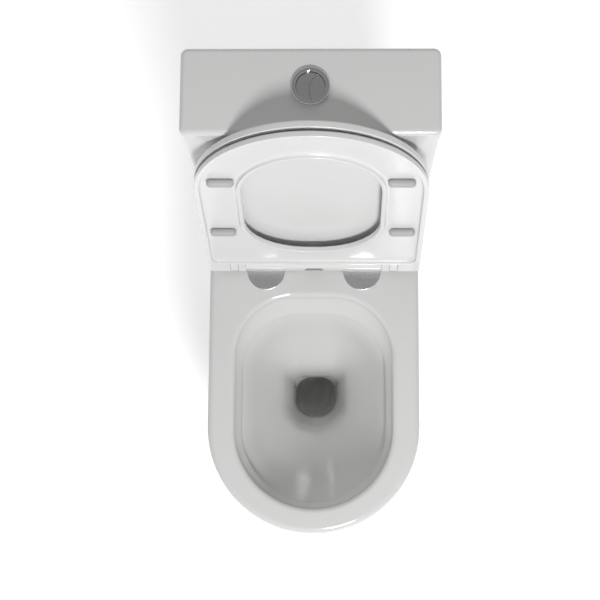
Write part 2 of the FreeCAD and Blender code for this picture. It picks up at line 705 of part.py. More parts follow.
def make_flush_valve():
    body = turned("flush_valve_body", [
        (24, -42), (valve_tail, -42), (valve_tail, 3), (41, 3), (41, 9), (27, 9), (27, 13), (24, 13)])
    ribs = new_sketch(body, "XY", 9)
    for angle in (45, 135, 225, 315):
        x = 38 * math.cos(math.radians(angle))
        y = 38 * math.sin(math.radians(angle))
        draw_circle(ribs, x, y, 2.5)
    pad(body, ribs, 62)
    ledge = new_sketch(body, "XY", 70)
    draw_circle(ledge, 0.0, 0.0, 41)
    draw_circle(ledge, 0.0, 0.0, piston_radius + 6.5)
    pad(body, ledge, 4)
    tower = new_sketch(body, "XY", 73)
    draw_circle(tower, 0.0, 0.0, piston_radius + 9.5)
    draw_circle(tower, 0.0, 0.0, piston_radius + 6.5)
    pad(body, tower, guide_height - 73)
    head = new_sketch(body, "XY", guide_height - 5)
    draw_rectangle(head, -lever_pivot - 5, lever_pivot + 5, -16, 16, 3)
    draw_circle(head, 0.0, 0.0, piston_radius + fit_gap)
    pad(body, head, 5)
    lugs = new_sketch(body, "XZ", -11)
    for side in (-1, 1):
        x = lever_pivot * side
        draw_path(lugs, [(x - 5, guide_height - 1), (x + 5, guide_height - 1),
                         (x + 5, guide_height + 17), (x - 5, guide_height + 17)], [0, 0, 4, 4])
    pad(body, lugs, 22)
    slot = new_sketch(body, "XZ", -7.5)
    draw_rectangle(slot, -lever_pivot - 6, lever_pivot + 6, guide_height, guide_height + 18)
    pocket(body, slot, 15, forward=True)
    bores = new_sketch(body, "XZ", -13)
    for side in (-1, 1):
        draw_circle(bores, lever_pivot * side, guide_height + 12, 2)
    pocket(body, bores, 26, forward=True)
    keep(place(body, 0.0, valve_y, tank_inside))

    keep(place(ring("flush_valve_washer", valve_tail + 0.3, 41, 0.0, 3), 0.0, valve_y, tank_inside))
    backnut = ring("flush_valve_backnut", valve_tail + thread_gap, valve_hole + 11, -13, -0.1)
    keep(place(backnut, 0.0, valve_y, tank_bottom))

    piston = turned("overflow_tube", [
        (piston_radius - 2.5, 16), (34, 16), (34, 19), (piston_radius, 22), (piston_radius, 266.3),
        (19, 266.3), (19, 269), (piston_radius, 272), (piston_radius, 276), (piston_radius - 2.5, 276)])
    keep(place(piston, 0.0, valve_y, tank_inside))
    keep(place(ring("flush_seal", 16, 33, 13.3, 16), 0.0, valve_y, tank_inside))

    for label, side, inner_end in (("full_flush_lever", -1, 15), ("half_flush_lever", 1, 20)):
        lever = new_body(label)
        side_view = new_sketch(lever, "XZ", -7)
        outline = [(inner_end - lever_pivot, -2), (pad_offset + 5 - lever_pivot, -2),
                   (pad_offset + 5 - lever_pivot, 3), (4, 3), (-4, 3), (inner_end - lever_pivot, 2)]
        points = [(x * side, z) for x, z in outline]
        if side < 0:
            points.reverse()
        draw_path(side_view, points)
        pad(lever, side_view, 14)
        hub = new_sketch(lever, "XZ", -7)
        draw_circle(hub, 0.0, 0.0, 4)
        pad(lever, hub, 14)
        bore = new_sketch(lever, "XZ", -8)
        draw_circle(bore, 0.0, 0.0, 2 + fit_gap)
        pocket(lever, bore, 16, forward=True)
        keep(place(lever, lever_pivot * side, valve_y, tank_inside + guide_height + 12))
    pin = new_body("lever_pin")
    sketch = new_sketch(pin, "XZ", -12)
    draw_circle(sketch, 0.0, 0.0, 2)
    pad(pin, sketch, 24)
    place(pin, lever_pivot, valve_y, tank_inside + guide_height + 12)
    mirrored_pair("lever_pins", pin)


def make_fill_valve():
    body = turned("fill_valve_body", [
        (5, -tank_floor - inlet_tail), (inlet_radius, -tank_floor - inlet_tail),
        (inlet_radius, -tank_floor - 10), (inlet_radius - 0.2, -tank_floor - 10), (inlet_radius - 0.2, 2.5),
        (18, 2.5), (18, 6), (12, 8), (12, 117), (16, 117), (16, 119.7), (12, 119.7), (12, 250),
        (9, 250), (9, 20), (5, 12)])
    keep(place(body, -inlet_offset, valve_y, tank_inside))
    keep(place(ring("fill_valve_washer", inlet_radius + 0.3, 18, 0.0, 2.5), -inlet_offset, valve_y, tank_inside))
    nut = ring("fill_valve_backnut", inlet_radius - 0.2 + thread_gap, 19, -9, -0.1)
    keep(place(nut, -inlet_offset, valve_y, tank_bottom))
    head = turned("fill_valve_head", [
        (0.0, 250), (12, 250), (12, 240), (15, 240), (15, 272), (12, 275), (0.0, 275)])
    lug = new_sketch(head, "XZ", -6)
    draw_path(lug, [(-20, 262), (-8, 262), (-8, 288), (-20, 288)], [0, 0, 4, 4])
    pad(head, lug, 12)
    slot = new_sketch(head, "XZ", -3.5)
    draw_rectangle(slot, -21, -7, 275.5, 289)
    pocket(head, slot, 7, forward=True)
    pin_bore = new_sketch(head, "XZ", -7)
    draw_circle(pin_bore, -14, 283, 1.5)
    pocket(head, pin_bore, 14, forward=True)
    keep(place(head, -inlet_offset, valve_y, tank_inside))

    lever = new_body("fill_valve_lever")
    arm = new_sketch(lever, "XZ", -3)
    draw_path(arm, [(-5, -3), (46, -3), (46, 2), (6, 3), (-5, 3)], [2, 1, 1, 0, 2])
    pad(lever, arm, 6)
    bore = new_sketch(lever, "XZ", -4)
    draw_circle(bore, 0.0, 0.0, 1.5 + fit_gap)
    pocket(lever, bore, 8, forward=True)
    keep(place(lever, -inlet_offset - 14, valve_y, tank_inside + 283))
    pin = new_body("fill_valve_lever_pin")
    sketch = new_sketch(pin, "XZ", -7)
    draw_circle(sketch, 0.0, 0.0, 1.5)
    pad(pin, sketch, 14)
    keep(place(pin, -inlet_offset - 14, valve_y, tank_inside + 283))
    cup = turned("fill_valve_float", [
        (12 + fit_gap, 120), (31, 120), (31, 176), (27, 180), (12 + fit_gap, 180)])
    keep(place(cup, -inlet_offset, valve_y, tank_inside))
    link = turned("float_link", [(0.0, 180), (1.6, 180), (1.6, 279.6), (0.0, 279.6)])
    keep(place(link, -inlet_offset + 26, valve_y, tank_inside))


def make_button():
    bezel = turned("button_bezel", [
        (0.0, -sleeve_length), (sleeve_radius, -sleeve_length), (sleeve_radius, 0.0),
        (bezel_radius, 0.0), (bezel_radius, 1.4), (bezel_radius - 2.4, bezel_height - 0.4),
        (bezel_radius - 4, bezel_height), (button_radius + 1.6, bezel_height),
        (button_radius + button_gap, bezel_height - 1.6),
        (button_radius + button_gap, -sleeve_length + 3), (0.0, -sleeve_length + 3)])
    guides = new_sketch(bezel, "XY", -sleeve_length + 3)
    for side in (-1, 1):
        draw_circle(guides, stem_offset * side, 0.0, stem_radius + fit_gap)
    pocket(bezel, guides, 4)
    keep(place(bezel, 0.0, valve_y, cistern_top))

    nut = new_body("button_lock_nut")
    collar = new_sketch(nut, "XY", -lid_skin - 9)
    draw_circle(collar, 0.0, 0.0, sleeve_radius + 9)
    draw_circle(collar, 0.0, 0.0, sleeve_radius + thread_gap)
    pad(nut, collar, 9)
    for side in (-1, 1):
        wing = new_sketch(nut, "XY", -lid_skin - 9)
        near = sleeve_radius + 7
        draw_rectangle(wing, *sorted((near * side, (near + 8) * side), key=value_of), -5, 5)
        pad(nut, wing, 6)
    keep(place(nut, 0.0, valve_y, cistern_top))

    deep = 8
    crown = 2.2
    for label, side in (("full_flush_button", -1), ("half_flush_button", 1)):
        body = new_body(label)
        disc = new_sketch(body, "XY", -deep)
        draw_circle(disc, 0.0, 0.0, button_radius)
        pad(body, disc, deep + crown)
        cut = new_sketch(body, "XY", crown)
        draw_circle(cut, split_x, split_y, split_radius + (button_gap if side < 0 else 0.0))
        if side > 0:
            draw_circle(cut, split_x, split_y, split_radius + button_radius * 2)
        pocket(body, cut, deep + crown)
        stem = new_sketch(body, "XY", -sleeve_length - 14)
        draw_circle(stem, stem_offset * side, 0.0, stem_radius)
        pad(body, stem, sleeve_length + 14 - deep / 2)
        keep(place(body, 0.0, valve_y, cistern_top))

    low = tank_inside + guide_height + 15 - cistern_top + 0.4
    top = -sleeve_length - 14
    for label, side in (("full_flush_rod", -1), ("half_flush_rod", 1)):
        body = new_body(label)
        bend = new_sketch(body, "XZ", -3)
        outline = [(stem_offset - 3, top - 10), (pad_offset - 3, top - 10), (pad_offset - 3, low),
                   (pad_offset + 3, low), (pad_offset + 3, top - 6), (stem_offset + 3, top - 6),
                   (stem_offset + 3, top), (stem_offset - 3, top)]
        points = [(x * side, z) for x, z in outline]
        if side < 0:
            points.reverse()
        draw_path(bend, points)
        pad(body, bend, 6)
        keep(place(body, 0.0, valve_y, cistern_top))

    for label, side in (("full_flush_spring", -1), ("half_flush_spring", 1)):
        spring = coil_spring(label, stem_radius + 1.8, 0.5, sleeve_length - 3 - deep - 1.2, 7)
        place(spring, stem_offset * side, valve_y, cistern_top - sleeve_length + 3 + 0.6)
        keep(spring, label)


# --- seat hinge ---------------------------------------------------------------------------------

bolt_radius = size("bolt_radius", 4, "bolts that hold the seat")
button_half = size("button_half", 17, "release button of the hinge, at its foot")
release_travel = size("release_travel", 2.5, "travel of the release button")


def make_hinge_fixings():
    disc_y = hinge_y - disc_forward
    cover = turned("hinge_cover", [
        (0.0, disc_height - 1), (disc_radius - 1.5, disc_height - 1), (disc_radius - 1.5, 0.0),
        (disc_radius, 0.0), (disc_radius, disc_height - 1), (disc_radius - 1, disc_height),
        (0.0, disc_height)])
    post_hole = new_sketch(cover, "XY", disc_height)
    draw_circle(post_hole, 0.0, disc_forward, pin_radius + 1.5)
    pocket(cover, post_hole, 2)
    place(cover, disc_offset, disc_y, rim_height)
    mirrored_pair("hinge_cover_discs", cover)

    plate = ring("hinge_plate", bolt_radius + fit_gap, disc_radius - 2, 0.0, disc_height - 1)
    post = new_sketch(plate, "XY", disc_height - 1.5)
    draw_circle(post, 0.0, disc_forward, pin_radius + 1)
    pad(plate, post, hinge_rise - disc_height + 1.5 - damper_radius + 7)
    sink = new_sketch(plate, "XY", disc_height - 1)
    draw_circle(sink, 0.0, 0.0, bolt_radius + 3.5)
    pocket(plate, sink, 1.8)
    place(plate, disc_offset, disc_y, rim_height)
    mirrored_pair("hinge_plates", plate)

    head = disc_height - 1 - 0.1
    bolt = turned("seat_bolt", [
        (0.0, -66), (bolt_radius, -66), (bolt_radius, head - 1.7), (bolt_radius + 3.4, head - 1.7),
        (bolt_radius + 3.4, head), (0.0, head)])
    place(bolt, disc_offset, disc_y, rim_height)
    mirrored_pair("seat_bolts", bolt)
    bush = turned("seat_bush", [
        (bolt_radius + fit_gap, -rim_roof - 12), (seat_hole_radius + 4, -rim_roof - 12),
        (seat_hole_radius + 4, -rim_roof), (seat_hole_radius - 0.1, -rim_roof),
        (seat_hole_radius - 0.1, 0.0), (bolt_radius + fit_gap, 0.0)])
    place(bush, disc_offset, disc_y, rim_height)
    mirrored_pair("seat_bushes", bush)
    washer = ring("seat_washer", bolt_radius + 0.3, 12, -2, 0.0)
    place(washer, disc_offset, disc_y, rim_height - rim_roof - 12)
    mirrored_pair("seat_washers", washer)
    nut = wing_nut("seat_wing_nut", bolt_radius)
    place(nut, disc_offset, disc_y, rim_height - rim_roof - 14)
    mirrored_pair("seat_wing_nuts", nut)


def release_outline(grow):
    """The release button seen from the front: wider at its foot."""
    low = -11 - grow
    high = 3 + grow
    return [(-button_half - grow, low), (button_half + grow, low),
            (button_half - 5 + grow, high), (-button_half + 5 - grow, high)]


def make_hinge_bar():
    body = new_body("hinge_bar")
    side_view = new_sketch(body, "YZ", -bar_half)
    foot = hinge_rise - disc_height - 0.3
    draw_path(side_view, [(-bar_radius, -foot), (bar_radius, -foot), (bar_radius, bar_radius),
                          (-bar_radius, bar_radius)],
              [1.5, 1.5, bar_radius - 0.1, bar_radius - 0.1])
    pad(body, side_view, bar_half * 2)
    for side in (-1, 1):
        bore = new_sketch(body, "YZ", bar_half * side)
        draw_circle(bore, 0.0, 0.0, damper_radius + 0.05)
        pocket(body, bore, damper_length, forward=side < 0)
        well = new_sketch(body, "XY", -foot)
        draw_circle(well, disc_offset * side, 0.0, pin_radius + 1 + fit_gap)
        pocket(body, well, foot + 4, forward=True)
    front_face = new_sketch(body, "XZ", bar_radius + 1)
    draw_path(front_face, release_outline(0.25))
    pocket(body, front_face, 13)
    keep(place(body, 0.0, hinge_y, hinge_z))

    button = new_body("hinge_release_button")
    face = new_sketch(button, "XZ", bar_radius - 8)
    draw_path(face, release_outline(0.0))
    pad(button, face, 8)
    keep(place(button, 0.0, hinge_y, hinge_z))
    spring = coil_spring("hinge_release_spring", 3.2, 0.5, release_travel + 0.3, 2)
    spring.Placement.Rotation = FreeCAD.Rotation(Vector(1, 0, 0), 90)
    place(spring, 0.0, hinge_y - 2.6, hinge_z - 4)
    keep(spring, "hinge_release_spring")

    damper = new_body("damper")
    barrel = new_sketch(damper, "YZ", bar_half - damper_length)
    draw_circle(barrel, 0.0, 0.0, damper_radius)
    pad(damper, barrel, damper_length - 2)
    bore = new_sketch(damper, "YZ", bar_half)
    draw_circle(bore, 0.0, 0.0, pin_radius + fit_gap)
    pocket(damper, bore, damper_length - 4)
    place(damper, 0.0, hinge_y, hinge_z)
    mirrored_pair("hinge_dampers", damper)
    pin = new_body("hinge_pin")
    sketch = new_sketch(pin, "YZ", bar_half - damper_length + 5)
    draw_circle(sketch, 0.0, 0.0, pin_radius)
    pad(pin, sketch, damper_length - 5 + (knuckle_length + knuckle_gap) * 2 - 2)
    place(pin, 0.0, hinge_y, hinge_z)
    mirrored_pair("hinge_pins", pin)


# --- seat and lid, each drawn closed round the hinge axis and then raised ----------------------------

def raise_up(piece):
    """Turn a closed piece back round the hinge axis to where it rests."""
    piece.Placement = FreeCAD.Placement(
        Vector(0, hinge_y.value, hinge_z.value), FreeCAD.Rotation(Vector(1, 0, 0), -open_angle.value))
    bind(piece, "Placement.Base.y", hinge_y)
    bind(piece, "Placement.Base.z", hinge_z)
    bind(piece, "Placement.Rotation.Angle", -open_angle)
    return piece


seat_knuckle = bar_half + knuckle_gap
cover_knuckle = seat_knuckle + knuckle_length + knuckle_gap
notch_end = cover_knuckle + knuckle_length + knuckle_gap
notch_front = bar_radius + 1


def cut_notch(body, height, thick, left, right):
    """Cut the rear edge between two distances from the middle, on both sides."""
    sketch = new_sketch(body, "XY", height)
    if left is None:
        draw_rectangle(sketch, -right, right, -notch_front, seat_tail + 1)
    else:
        for low, high in ((left, right), (-right, -left)):
            draw_rectangle(sketch, low, high, -notch_front, seat_tail + 1)
    pocket(body, sketch, thick)


def add_knuckles(body, start, radius):
    """Two hinge knuckles, bored for the pins."""
    for side in (-1, 1):
        begin = start if side > 0 else -start - knuckle_length
        barrel = new_sketch(body, "YZ", begin)
        draw_circle(barrel, 0.0, 0.0, radius)
        pad(body, barrel, knuckle_length)
    bore = new_sketch(body, "YZ", start + knuckle_length + 1)
    draw_circle(bore, 0.0, 0.0, pin_radius + fit_gap)
    pocket(body, bore, (start + knuckle_length + 1) * 2)


def make_seat():
    body = new_body("seat_ring")
    half = seat_width / 2
    near = -seat_reach
    low = -seat_under
    high = low + seat_thick
    outline = horseshoe_at(body, low, half, near, seat_tail, 3)
    slab = pad(body, outline, seat_thick)

    def upper(edge):
        return all(abs(vertex.Z - high.value) < 0.01 for vertex in edge.Vertexes)

    round_edges(body, slab, 3, upper)
    hole_half = seat_hole_width / 2
    hole_near = near + seat_hole_front
    hole_far = hole_near + seat_hole_length
    hole = horseshoe_at(body, high, hole_half, hole_near, hole_far, hole_half - 8)
    pocket(body, hole, seat_thick)
    recess = horseshoe_at(body, low, half - seat_lip, near + seat_lip, -notch_front - 4, 14)
    draw_horseshoe(recess, hole_half + seat_lip * 0.8, hole_near - seat_lip * 0.8,
                   hole_far + seat_lip * 0.8, hole_half - 8)
    pocket(body, recess, seat_recess, forward=True)
    cut_notch(body, high, seat_thick, None, bar_half + 0.35)
    cut_notch(body, high, seat_thick, cover_knuckle - knuckle_gap / 2, notch_end)
    add_knuckles(body, seat_knuckle, 10)
    keep(raise_up(body))

    bumpers = new_body("seat_bumpers")
    length = bumper_length / 2
    thick = hinge_rise - seat_under - rest_gap
    sketch = new_sketch(bumpers, "XY", low - thick)
    for across, along in ((133.5, 305), (140.3, 138)):
        for side in (-1, 1):
            x = across * side
            draw_rectangle(sketch, x - length, x + length, -along - bumper_width / 2,
                           -along + bumper_width / 2, bumper_width / 2 - 0.2)
    pad(bumpers, sketch, thick + seat_recess)
    keep(raise_up(bumpers))


def make_cover():
    body = new_body("seat_lid")
    half = seat_width / 2
    near = -seat_reach
    low = -seat_under + seat_thick + cover_gap
    high = low + cover_thick
    outline = horseshoe_at(body, low, half, near, seat_tail, 3)
    slab = pad(body, outline, cover_thick)

    def upper(edge):
        return all(abs(vertex.Z - high.value) < 0.01 for vertex in edge.Vertexes)

    round_edges(body, slab, 4, upper)
    recess = horseshoe_at(body, low, half - seat_lip, near + seat_lip, -notch_front - 4, 14)
    pocket(body, recess, cover_recess, forward=True)
    cut_notch(body, high, cover_thick, None, cover_knuckle - knuckle_gap / 2)
    add_knuckles(body, cover_knuckle, 12)
    keep(raise_up(body))

    bumpers = new_body("lid_bumpers")
    sketch = new_sketch(bumpers, "XY", low - cover_gap + rest_gap)
    for across, along in ((145, 300), (145, 120)):
        for side in (-1, 1):
            draw_circle(sketch, across * side, -along, 4.5)
    pad(bumpers, sketch, cover_gap - rest_gap + cover_recess)
    keep(raise_up(bumpers))


# --- floor fixings ------------------------------------------------------------------------------

bracket_hole = size("bracket_hole", 4.25, "floor screw holes of the brackets")
skirt_lean = size("skirt_lean", 2, "skirt at the side screws beyond its foot")


def make_floor_fixings():
    inside = foot_width / 2 - skirt_wall
    bracket = new_body("floor_bracket")
    side_view = new_sketch(bracket, "XZ", -20)
    draw_path(side_view, [(-38, 0.0), (0.0, 0.0), (2.5, screw_height + 14), (-1, screw_height + 14),
                          (-3.5, 4), (-38, 4)])
    pad(bracket, side_view, 40)
    floor_hole = new_sketch(bracket, "XY", 5)
    draw_circle(floor_hole, -22, 0.0, bracket_hole)
    pocket(bracket, floor_hole, 6)
    screw_hole = new_sketch(bracket, "YZ", -10)
    draw_circle(screw_hole, 0.0, screw_height, 2.6)
    pocket(bracket, screw_hole, 20, forward=True)
    place(bracket, inside - 0.4, bracket_y, 0.0)
    mirrored_pair("floor_brackets", bracket)

    seat = foot_width / 2 + skirt_lean
    screw = new_body("side_screw")
    shank = new_sketch(screw, "YZ", inside - 8)
    draw_circle(shank, 0.0, 0.0, 2.5)
    pad(screw, shank, skirt_wall + skirt_lean + 8.5)
    head = new_sketch(screw, "YZ", seat)
    draw_circle(head, 0.0, 0.0, 5)
    pad(screw, head, 2.5)
    place(screw, 0.0, bracket_y, screw_height)
    mirrored_pair("side_screws", screw)
    cap = new_body("screw_cap")
    base = new_sketch(cap, "YZ", seat)
    draw_circle(base, 0.0, 0.0, 8)
    pad(cap, base, 5)
    hollow = new_sketch(cap, "YZ", seat - 1)
    draw_circle(hollow, 0.0, 0.0, 5.5)
    pocket(cap, hollow, 4, forward=True)
    place(cap, 0.0, bracket_y, screw_height)
    mirrored_pair("side_screw_caps", cap)


def check_and_write():
    """Recompute, refuse anything that failed, and write one file for each sub-part."""
    doc.recompute()
    for item in doc.Objects:
        if "Invalid" in item.State or "Error" in item.State:
            raise RuntimeError("%s failed: %s" % (item.Label, item.State))
    for piece in nodes:
        if piece.Shape.isNull() or not piece.Shape.isValid() or not piece.Shape.Solids:
            raise RuntimeError("%s has no valid shape" % piece.Label)
    os.makedirs("parts", exist_ok=True)
    for piece in nodes:
        piece.Shape.exportStep("parts/%s.step" % piece.Label)
        print("%-24s %2d solid(s) %12.1f mm3" % (piece.Label, len(piece.Shape.Solids), piece.Shape.Volume))


make_pan()
make_bowl()
make_tank()
make_cistern_lid()
make_coupling()
make_flush_valve()
make_fill_valve()
make_button()
make_hinge_fixings()
make_hinge_bar()
make_seat()
make_cover()
make_floor_fixings()
check_and_write()
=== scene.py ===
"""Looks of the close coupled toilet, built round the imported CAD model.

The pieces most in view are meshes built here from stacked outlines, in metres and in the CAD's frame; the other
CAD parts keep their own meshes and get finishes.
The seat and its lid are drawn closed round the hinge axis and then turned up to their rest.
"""

import json
import math

import bmesh
import bpy
from mathutils import Matrix, Vector


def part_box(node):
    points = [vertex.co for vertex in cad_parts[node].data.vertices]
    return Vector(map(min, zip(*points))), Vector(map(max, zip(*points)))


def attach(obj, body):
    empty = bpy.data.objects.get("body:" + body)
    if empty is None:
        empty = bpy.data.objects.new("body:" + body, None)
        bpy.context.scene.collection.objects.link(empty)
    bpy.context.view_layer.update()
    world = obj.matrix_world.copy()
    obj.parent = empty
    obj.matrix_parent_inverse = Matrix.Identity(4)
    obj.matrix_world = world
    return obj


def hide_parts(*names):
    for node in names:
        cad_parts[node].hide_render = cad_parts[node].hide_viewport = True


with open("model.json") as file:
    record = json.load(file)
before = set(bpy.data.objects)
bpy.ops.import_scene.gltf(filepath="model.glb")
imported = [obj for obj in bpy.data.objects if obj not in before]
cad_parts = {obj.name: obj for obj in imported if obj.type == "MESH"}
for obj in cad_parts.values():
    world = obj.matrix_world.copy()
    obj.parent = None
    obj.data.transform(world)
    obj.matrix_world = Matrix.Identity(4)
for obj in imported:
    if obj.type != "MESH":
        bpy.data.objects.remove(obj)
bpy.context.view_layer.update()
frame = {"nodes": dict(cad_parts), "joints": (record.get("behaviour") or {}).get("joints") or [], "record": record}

MM = 0.001


# --- places that come from the frame ------------------------------------------------------------

def joint_named(name):
    return [joint for joint in frame["joints"] if joint["name"] == name][0]


pan_low, pan_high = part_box("pan")
tank_low, tank_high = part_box("cistern_tank")
lid_low, lid_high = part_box("cistern_lid")
bezel_low, bezel_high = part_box("button_bezel")
disc_low, disc_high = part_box("hinge_cover_discs")
full_low, full_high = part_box("full_flush_button")

rim = pan_high.z
wall = pan_high.y
front = pan_low.y
pan_half = pan_high.x
lid_top = lid_high.z
button_y = (bezel_low.y + bezel_high.y) / 2

hinge = Vector(joint_named("seat_hinge")["pos_m"])
open_angle = math.radians(max(joint_named("seat_hinge")["range_deg"]))
raised = Matrix.Translation(hinge) @ Matrix.Rotation(-open_angle, 4, "X")


# --- outlines -----------------------------------------------------------------------------------

def outline(corners, inset=0.0, arc=10, edge=6):
    """Points round a polygon with rounded corners, moved inwards by inset.

    corners are (x, y, radius), anticlockwise. The count of points doesn't depend on the inset, so
    outlines of one polygon stack into a skin.
    """
    count = len(corners)
    at = [Vector((x, y)) for x, y, radius in corners]
    along = [(at[(i + 1) % count] - at[i]).normalized() for i in range(count)]
    inward = [Vector((-d.y, d.x)) for d in along]
    starts = []
    for i in range(count):
        a = at[i - 1] + inward[i - 1] * inset
        b = at[i] + inward[i] * inset
        crossing = along[i - 1].x * along[i].y - along[i - 1].y * along[i].x
        gap = b - a
        reach = (gap.x * along[i].y - gap.y * along[i].x) / crossing
        vertex = a + along[i - 1] * reach
        radius = corners[i][2] + (-inset if crossing > 0 else inset)
        radius = max(radius, 0.05 * MM)
        bend = math.acos(max(-1.0, min(1.0, along[i - 1].dot(along[i]))))
        run = radius * math.tan(bend / 2)
        side = 1 if crossing > 0 else -1
        centre = vertex - along[i - 1] * run + inward[i - 1] * radius * side
        begin = math.atan2(-inward[i - 1].y * side, -inward[i - 1].x * side)
        starts.append([centre + Vector((math.cos(begin + bend * side * k / arc),
                                        math.sin(begin + bend * side * k / arc))) * radius
                       for k in range(arc + 1)])
    points = []
    for i in range(count):
        points += starts[i]
        last = starts[i][-1]
        following = starts[(i + 1) % count][0]
        points += [last.lerp(following, k / edge) for k in range(1, edge)]
    return points


def horseshoe(half, near, far, corner):
    """Corners of a D: round at near, straight sides, corner radius at far."""
    nose = half - 0.1 * MM
    corner = min(corner, half - 0.2 * MM)
    return [(half, near, nose), (half, far, corner), (-half, far, corner), (-half, near, nose)]


def oblong(left, right, low, high, radius):
    return [(left, low, radius), (right, low, radius), (right, high, radius), (left, high, radius)]


def level(points, z):
    return [Vector((p.x, p.y, z)) for p in points]


def smooth(t):
    t = max(0.0, min(1.0, t))
    return t * t * (3 - 2 * t)


def through(stations, t):
    """A smooth curve through rows of numbers, for t from 0 to 1 along their count."""
    last = len(stations) - 1
    place = max(0.0, min(1.0, t)) * last
    i = min(int(place), last - 1)
    u = place - i
    before = stations[max(i - 1, 0)]
    after = stations[min(i + 2, last)]
    row = []
    for a, b, c, d in zip(before, stations[i], stations[i + 1], after):
        row.append(0.5 * (2 * b + (c - a) * u + (2 * a - 5 * b + 4 * c - d) * u * u
                          + (3 * b - a - 3 * c + d) * u ** 3))
    return row


# --- mesh tools ---------------------------------------------------------------------------------

class Skin:
    """Rings of equal count that are joined into quads, with flat fills between rings."""

    def __init__(self):
        self.bm = bmesh.new()

    def ring(self, points):
        return [self.bm.verts.new(p) for p in points]

    def join(self, a, b):
        count = len(a)
        for i in range(count):
            j = (i + 1) % count
            self.bm.faces.new((a[i], a[j], b[j], b[i]))

    def stack(self, rings):
        """Join rows of points one after the other and return the first and last rings."""
        made = [self.ring(points) for points in rings]
        for a, b in zip(made, made[1:]):
            self.join(a, b)
        return made[0], made[-1]

    def cap(self, ring):
        self.bm.faces.new(ring)

    def fill(self, *rings):
        """A flat face between an outer ring and the rings inside it."""
        edges = []
        for ring in rings:
            for a, b in zip(ring, ring[1:] + ring[:1]):
                edges.append(self.bm.edges.get((a, b)) or self.bm.edges.new((a, b)))
        bmesh.ops.triangle_fill(self.bm, edges=edges, use_beauty=True, use_dissolve=True)

    def tube(self, centre, radius, length, across, sides=40, bevel=0.6 * MM):
        """A closed round bar along a direction, with a small bevel at each end."""
        turn = across.to_track_quat("Z", "Y")
        rows = [(0.0, radius - bevel), (bevel * 0.3, radius - bevel * 0.3), (bevel, radius),
                (length - bevel, radius), (length - bevel * 0.3, radius - bevel * 0.3),
                (length, radius - bevel)]
        rings = []
        for height, size in rows:
            rings.append([centre + turn @ Vector((size * math.cos(2 * math.pi * k / sides),
                                                  size * math.sin(2 * math.pi * k / sides), height))
                          for k in range(sides)])
        low, high = self.stack(rings)
        self.cap(list(reversed(low)))
        self.cap(high)

    def object(self, name, turn=None, sharp=35):
        bmesh.ops.remove_doubles(self.bm, verts=self.bm.verts, dist=1e-6)
        bmesh.ops.recalc_face_normals(self.bm, faces=self.bm.faces)
        mesh = bpy.data.meshes.new(name)
        self.bm.to_mesh(mesh)
        self.bm.free()
        if turn is not None:
            mesh.transform(turn)
        piece = bpy.data.objects.new(name, mesh)
        bpy.context.scene.collection.objects.link(piece)
        finish_shading(piece, sharp)
        return piece


def finish_shading(piece, sharp):
    """Smooth faces, sharp edges only where the surface really turns, flat areas kept flat."""
    mesh = piece.data
    mesh.polygons.foreach_set("use_smooth", [True] * len(mesh.polygons))
    mesh.set_sharp_from_angle(angle=math.radians(sharp))
    weighted = piece.modifiers.new("weighted_normals", "WEIGHTED_NORMAL")
    weighted.keep_sharp = True
    weighted.weight = 80
    mesh.update()


def quarter(steps):
    """Shares of a quarter round: how far in and how far along."""
    turns = [math.pi / 2 * k / steps for k in range(steps + 1)]
    return [(1 - math.cos(a), math.sin(a)) for a in turns]


def revolve(name, centre, profile, sides=96, sharp=35):
    """A closed round piece from its half section of (radius, height)."""
    skin = Skin()
    rings = [[centre + Vector((r * math.cos(2 * math.pi * k / sides),
                               r * math.sin(2 * math.pi * k / sides), z)) for k in range(sides)]
             for r, z in profile]
    low, high = skin.stack(rings)
    skin.join(high, low)
    return skin.object(name, sharp=sharp)


# --- pan ----------------------------------------------------------------------------------------

PAN_ARC = 22
PAN_EDGE = 10
skirt_wall = 12 * MM
band_bottom = rim - 60 * MM
roof_under = rim - 16 * MM
foot_half = pan_half - 57 * MM
foot_front = front + 92 * MM
mouth_corners = horseshoe(130 * MM, front + 41 * MM, front + 390 * MM, 100 * MM)
outlet_half = 105 * MM
outlet_top = 300 * MM


def skirt(z, inset=0.0):
    """The skirt's outline at a height: foot at the floor, swelling to the full pan under the rim."""
    swell = smooth(z / band_bottom) ** 1.4
    half = foot_half + (pan_half - foot_half) * swell
    near = foot_front + (front - foot_front) * swell
    return level(outline(horseshoe(half, near, wall, 14 * MM), inset, PAN_ARC, PAN_EDGE), z)


def mouth_ring(z, inset=0.0):
    return level(outline(mouth_corners, inset, PAN_ARC, PAN_EDGE), z)


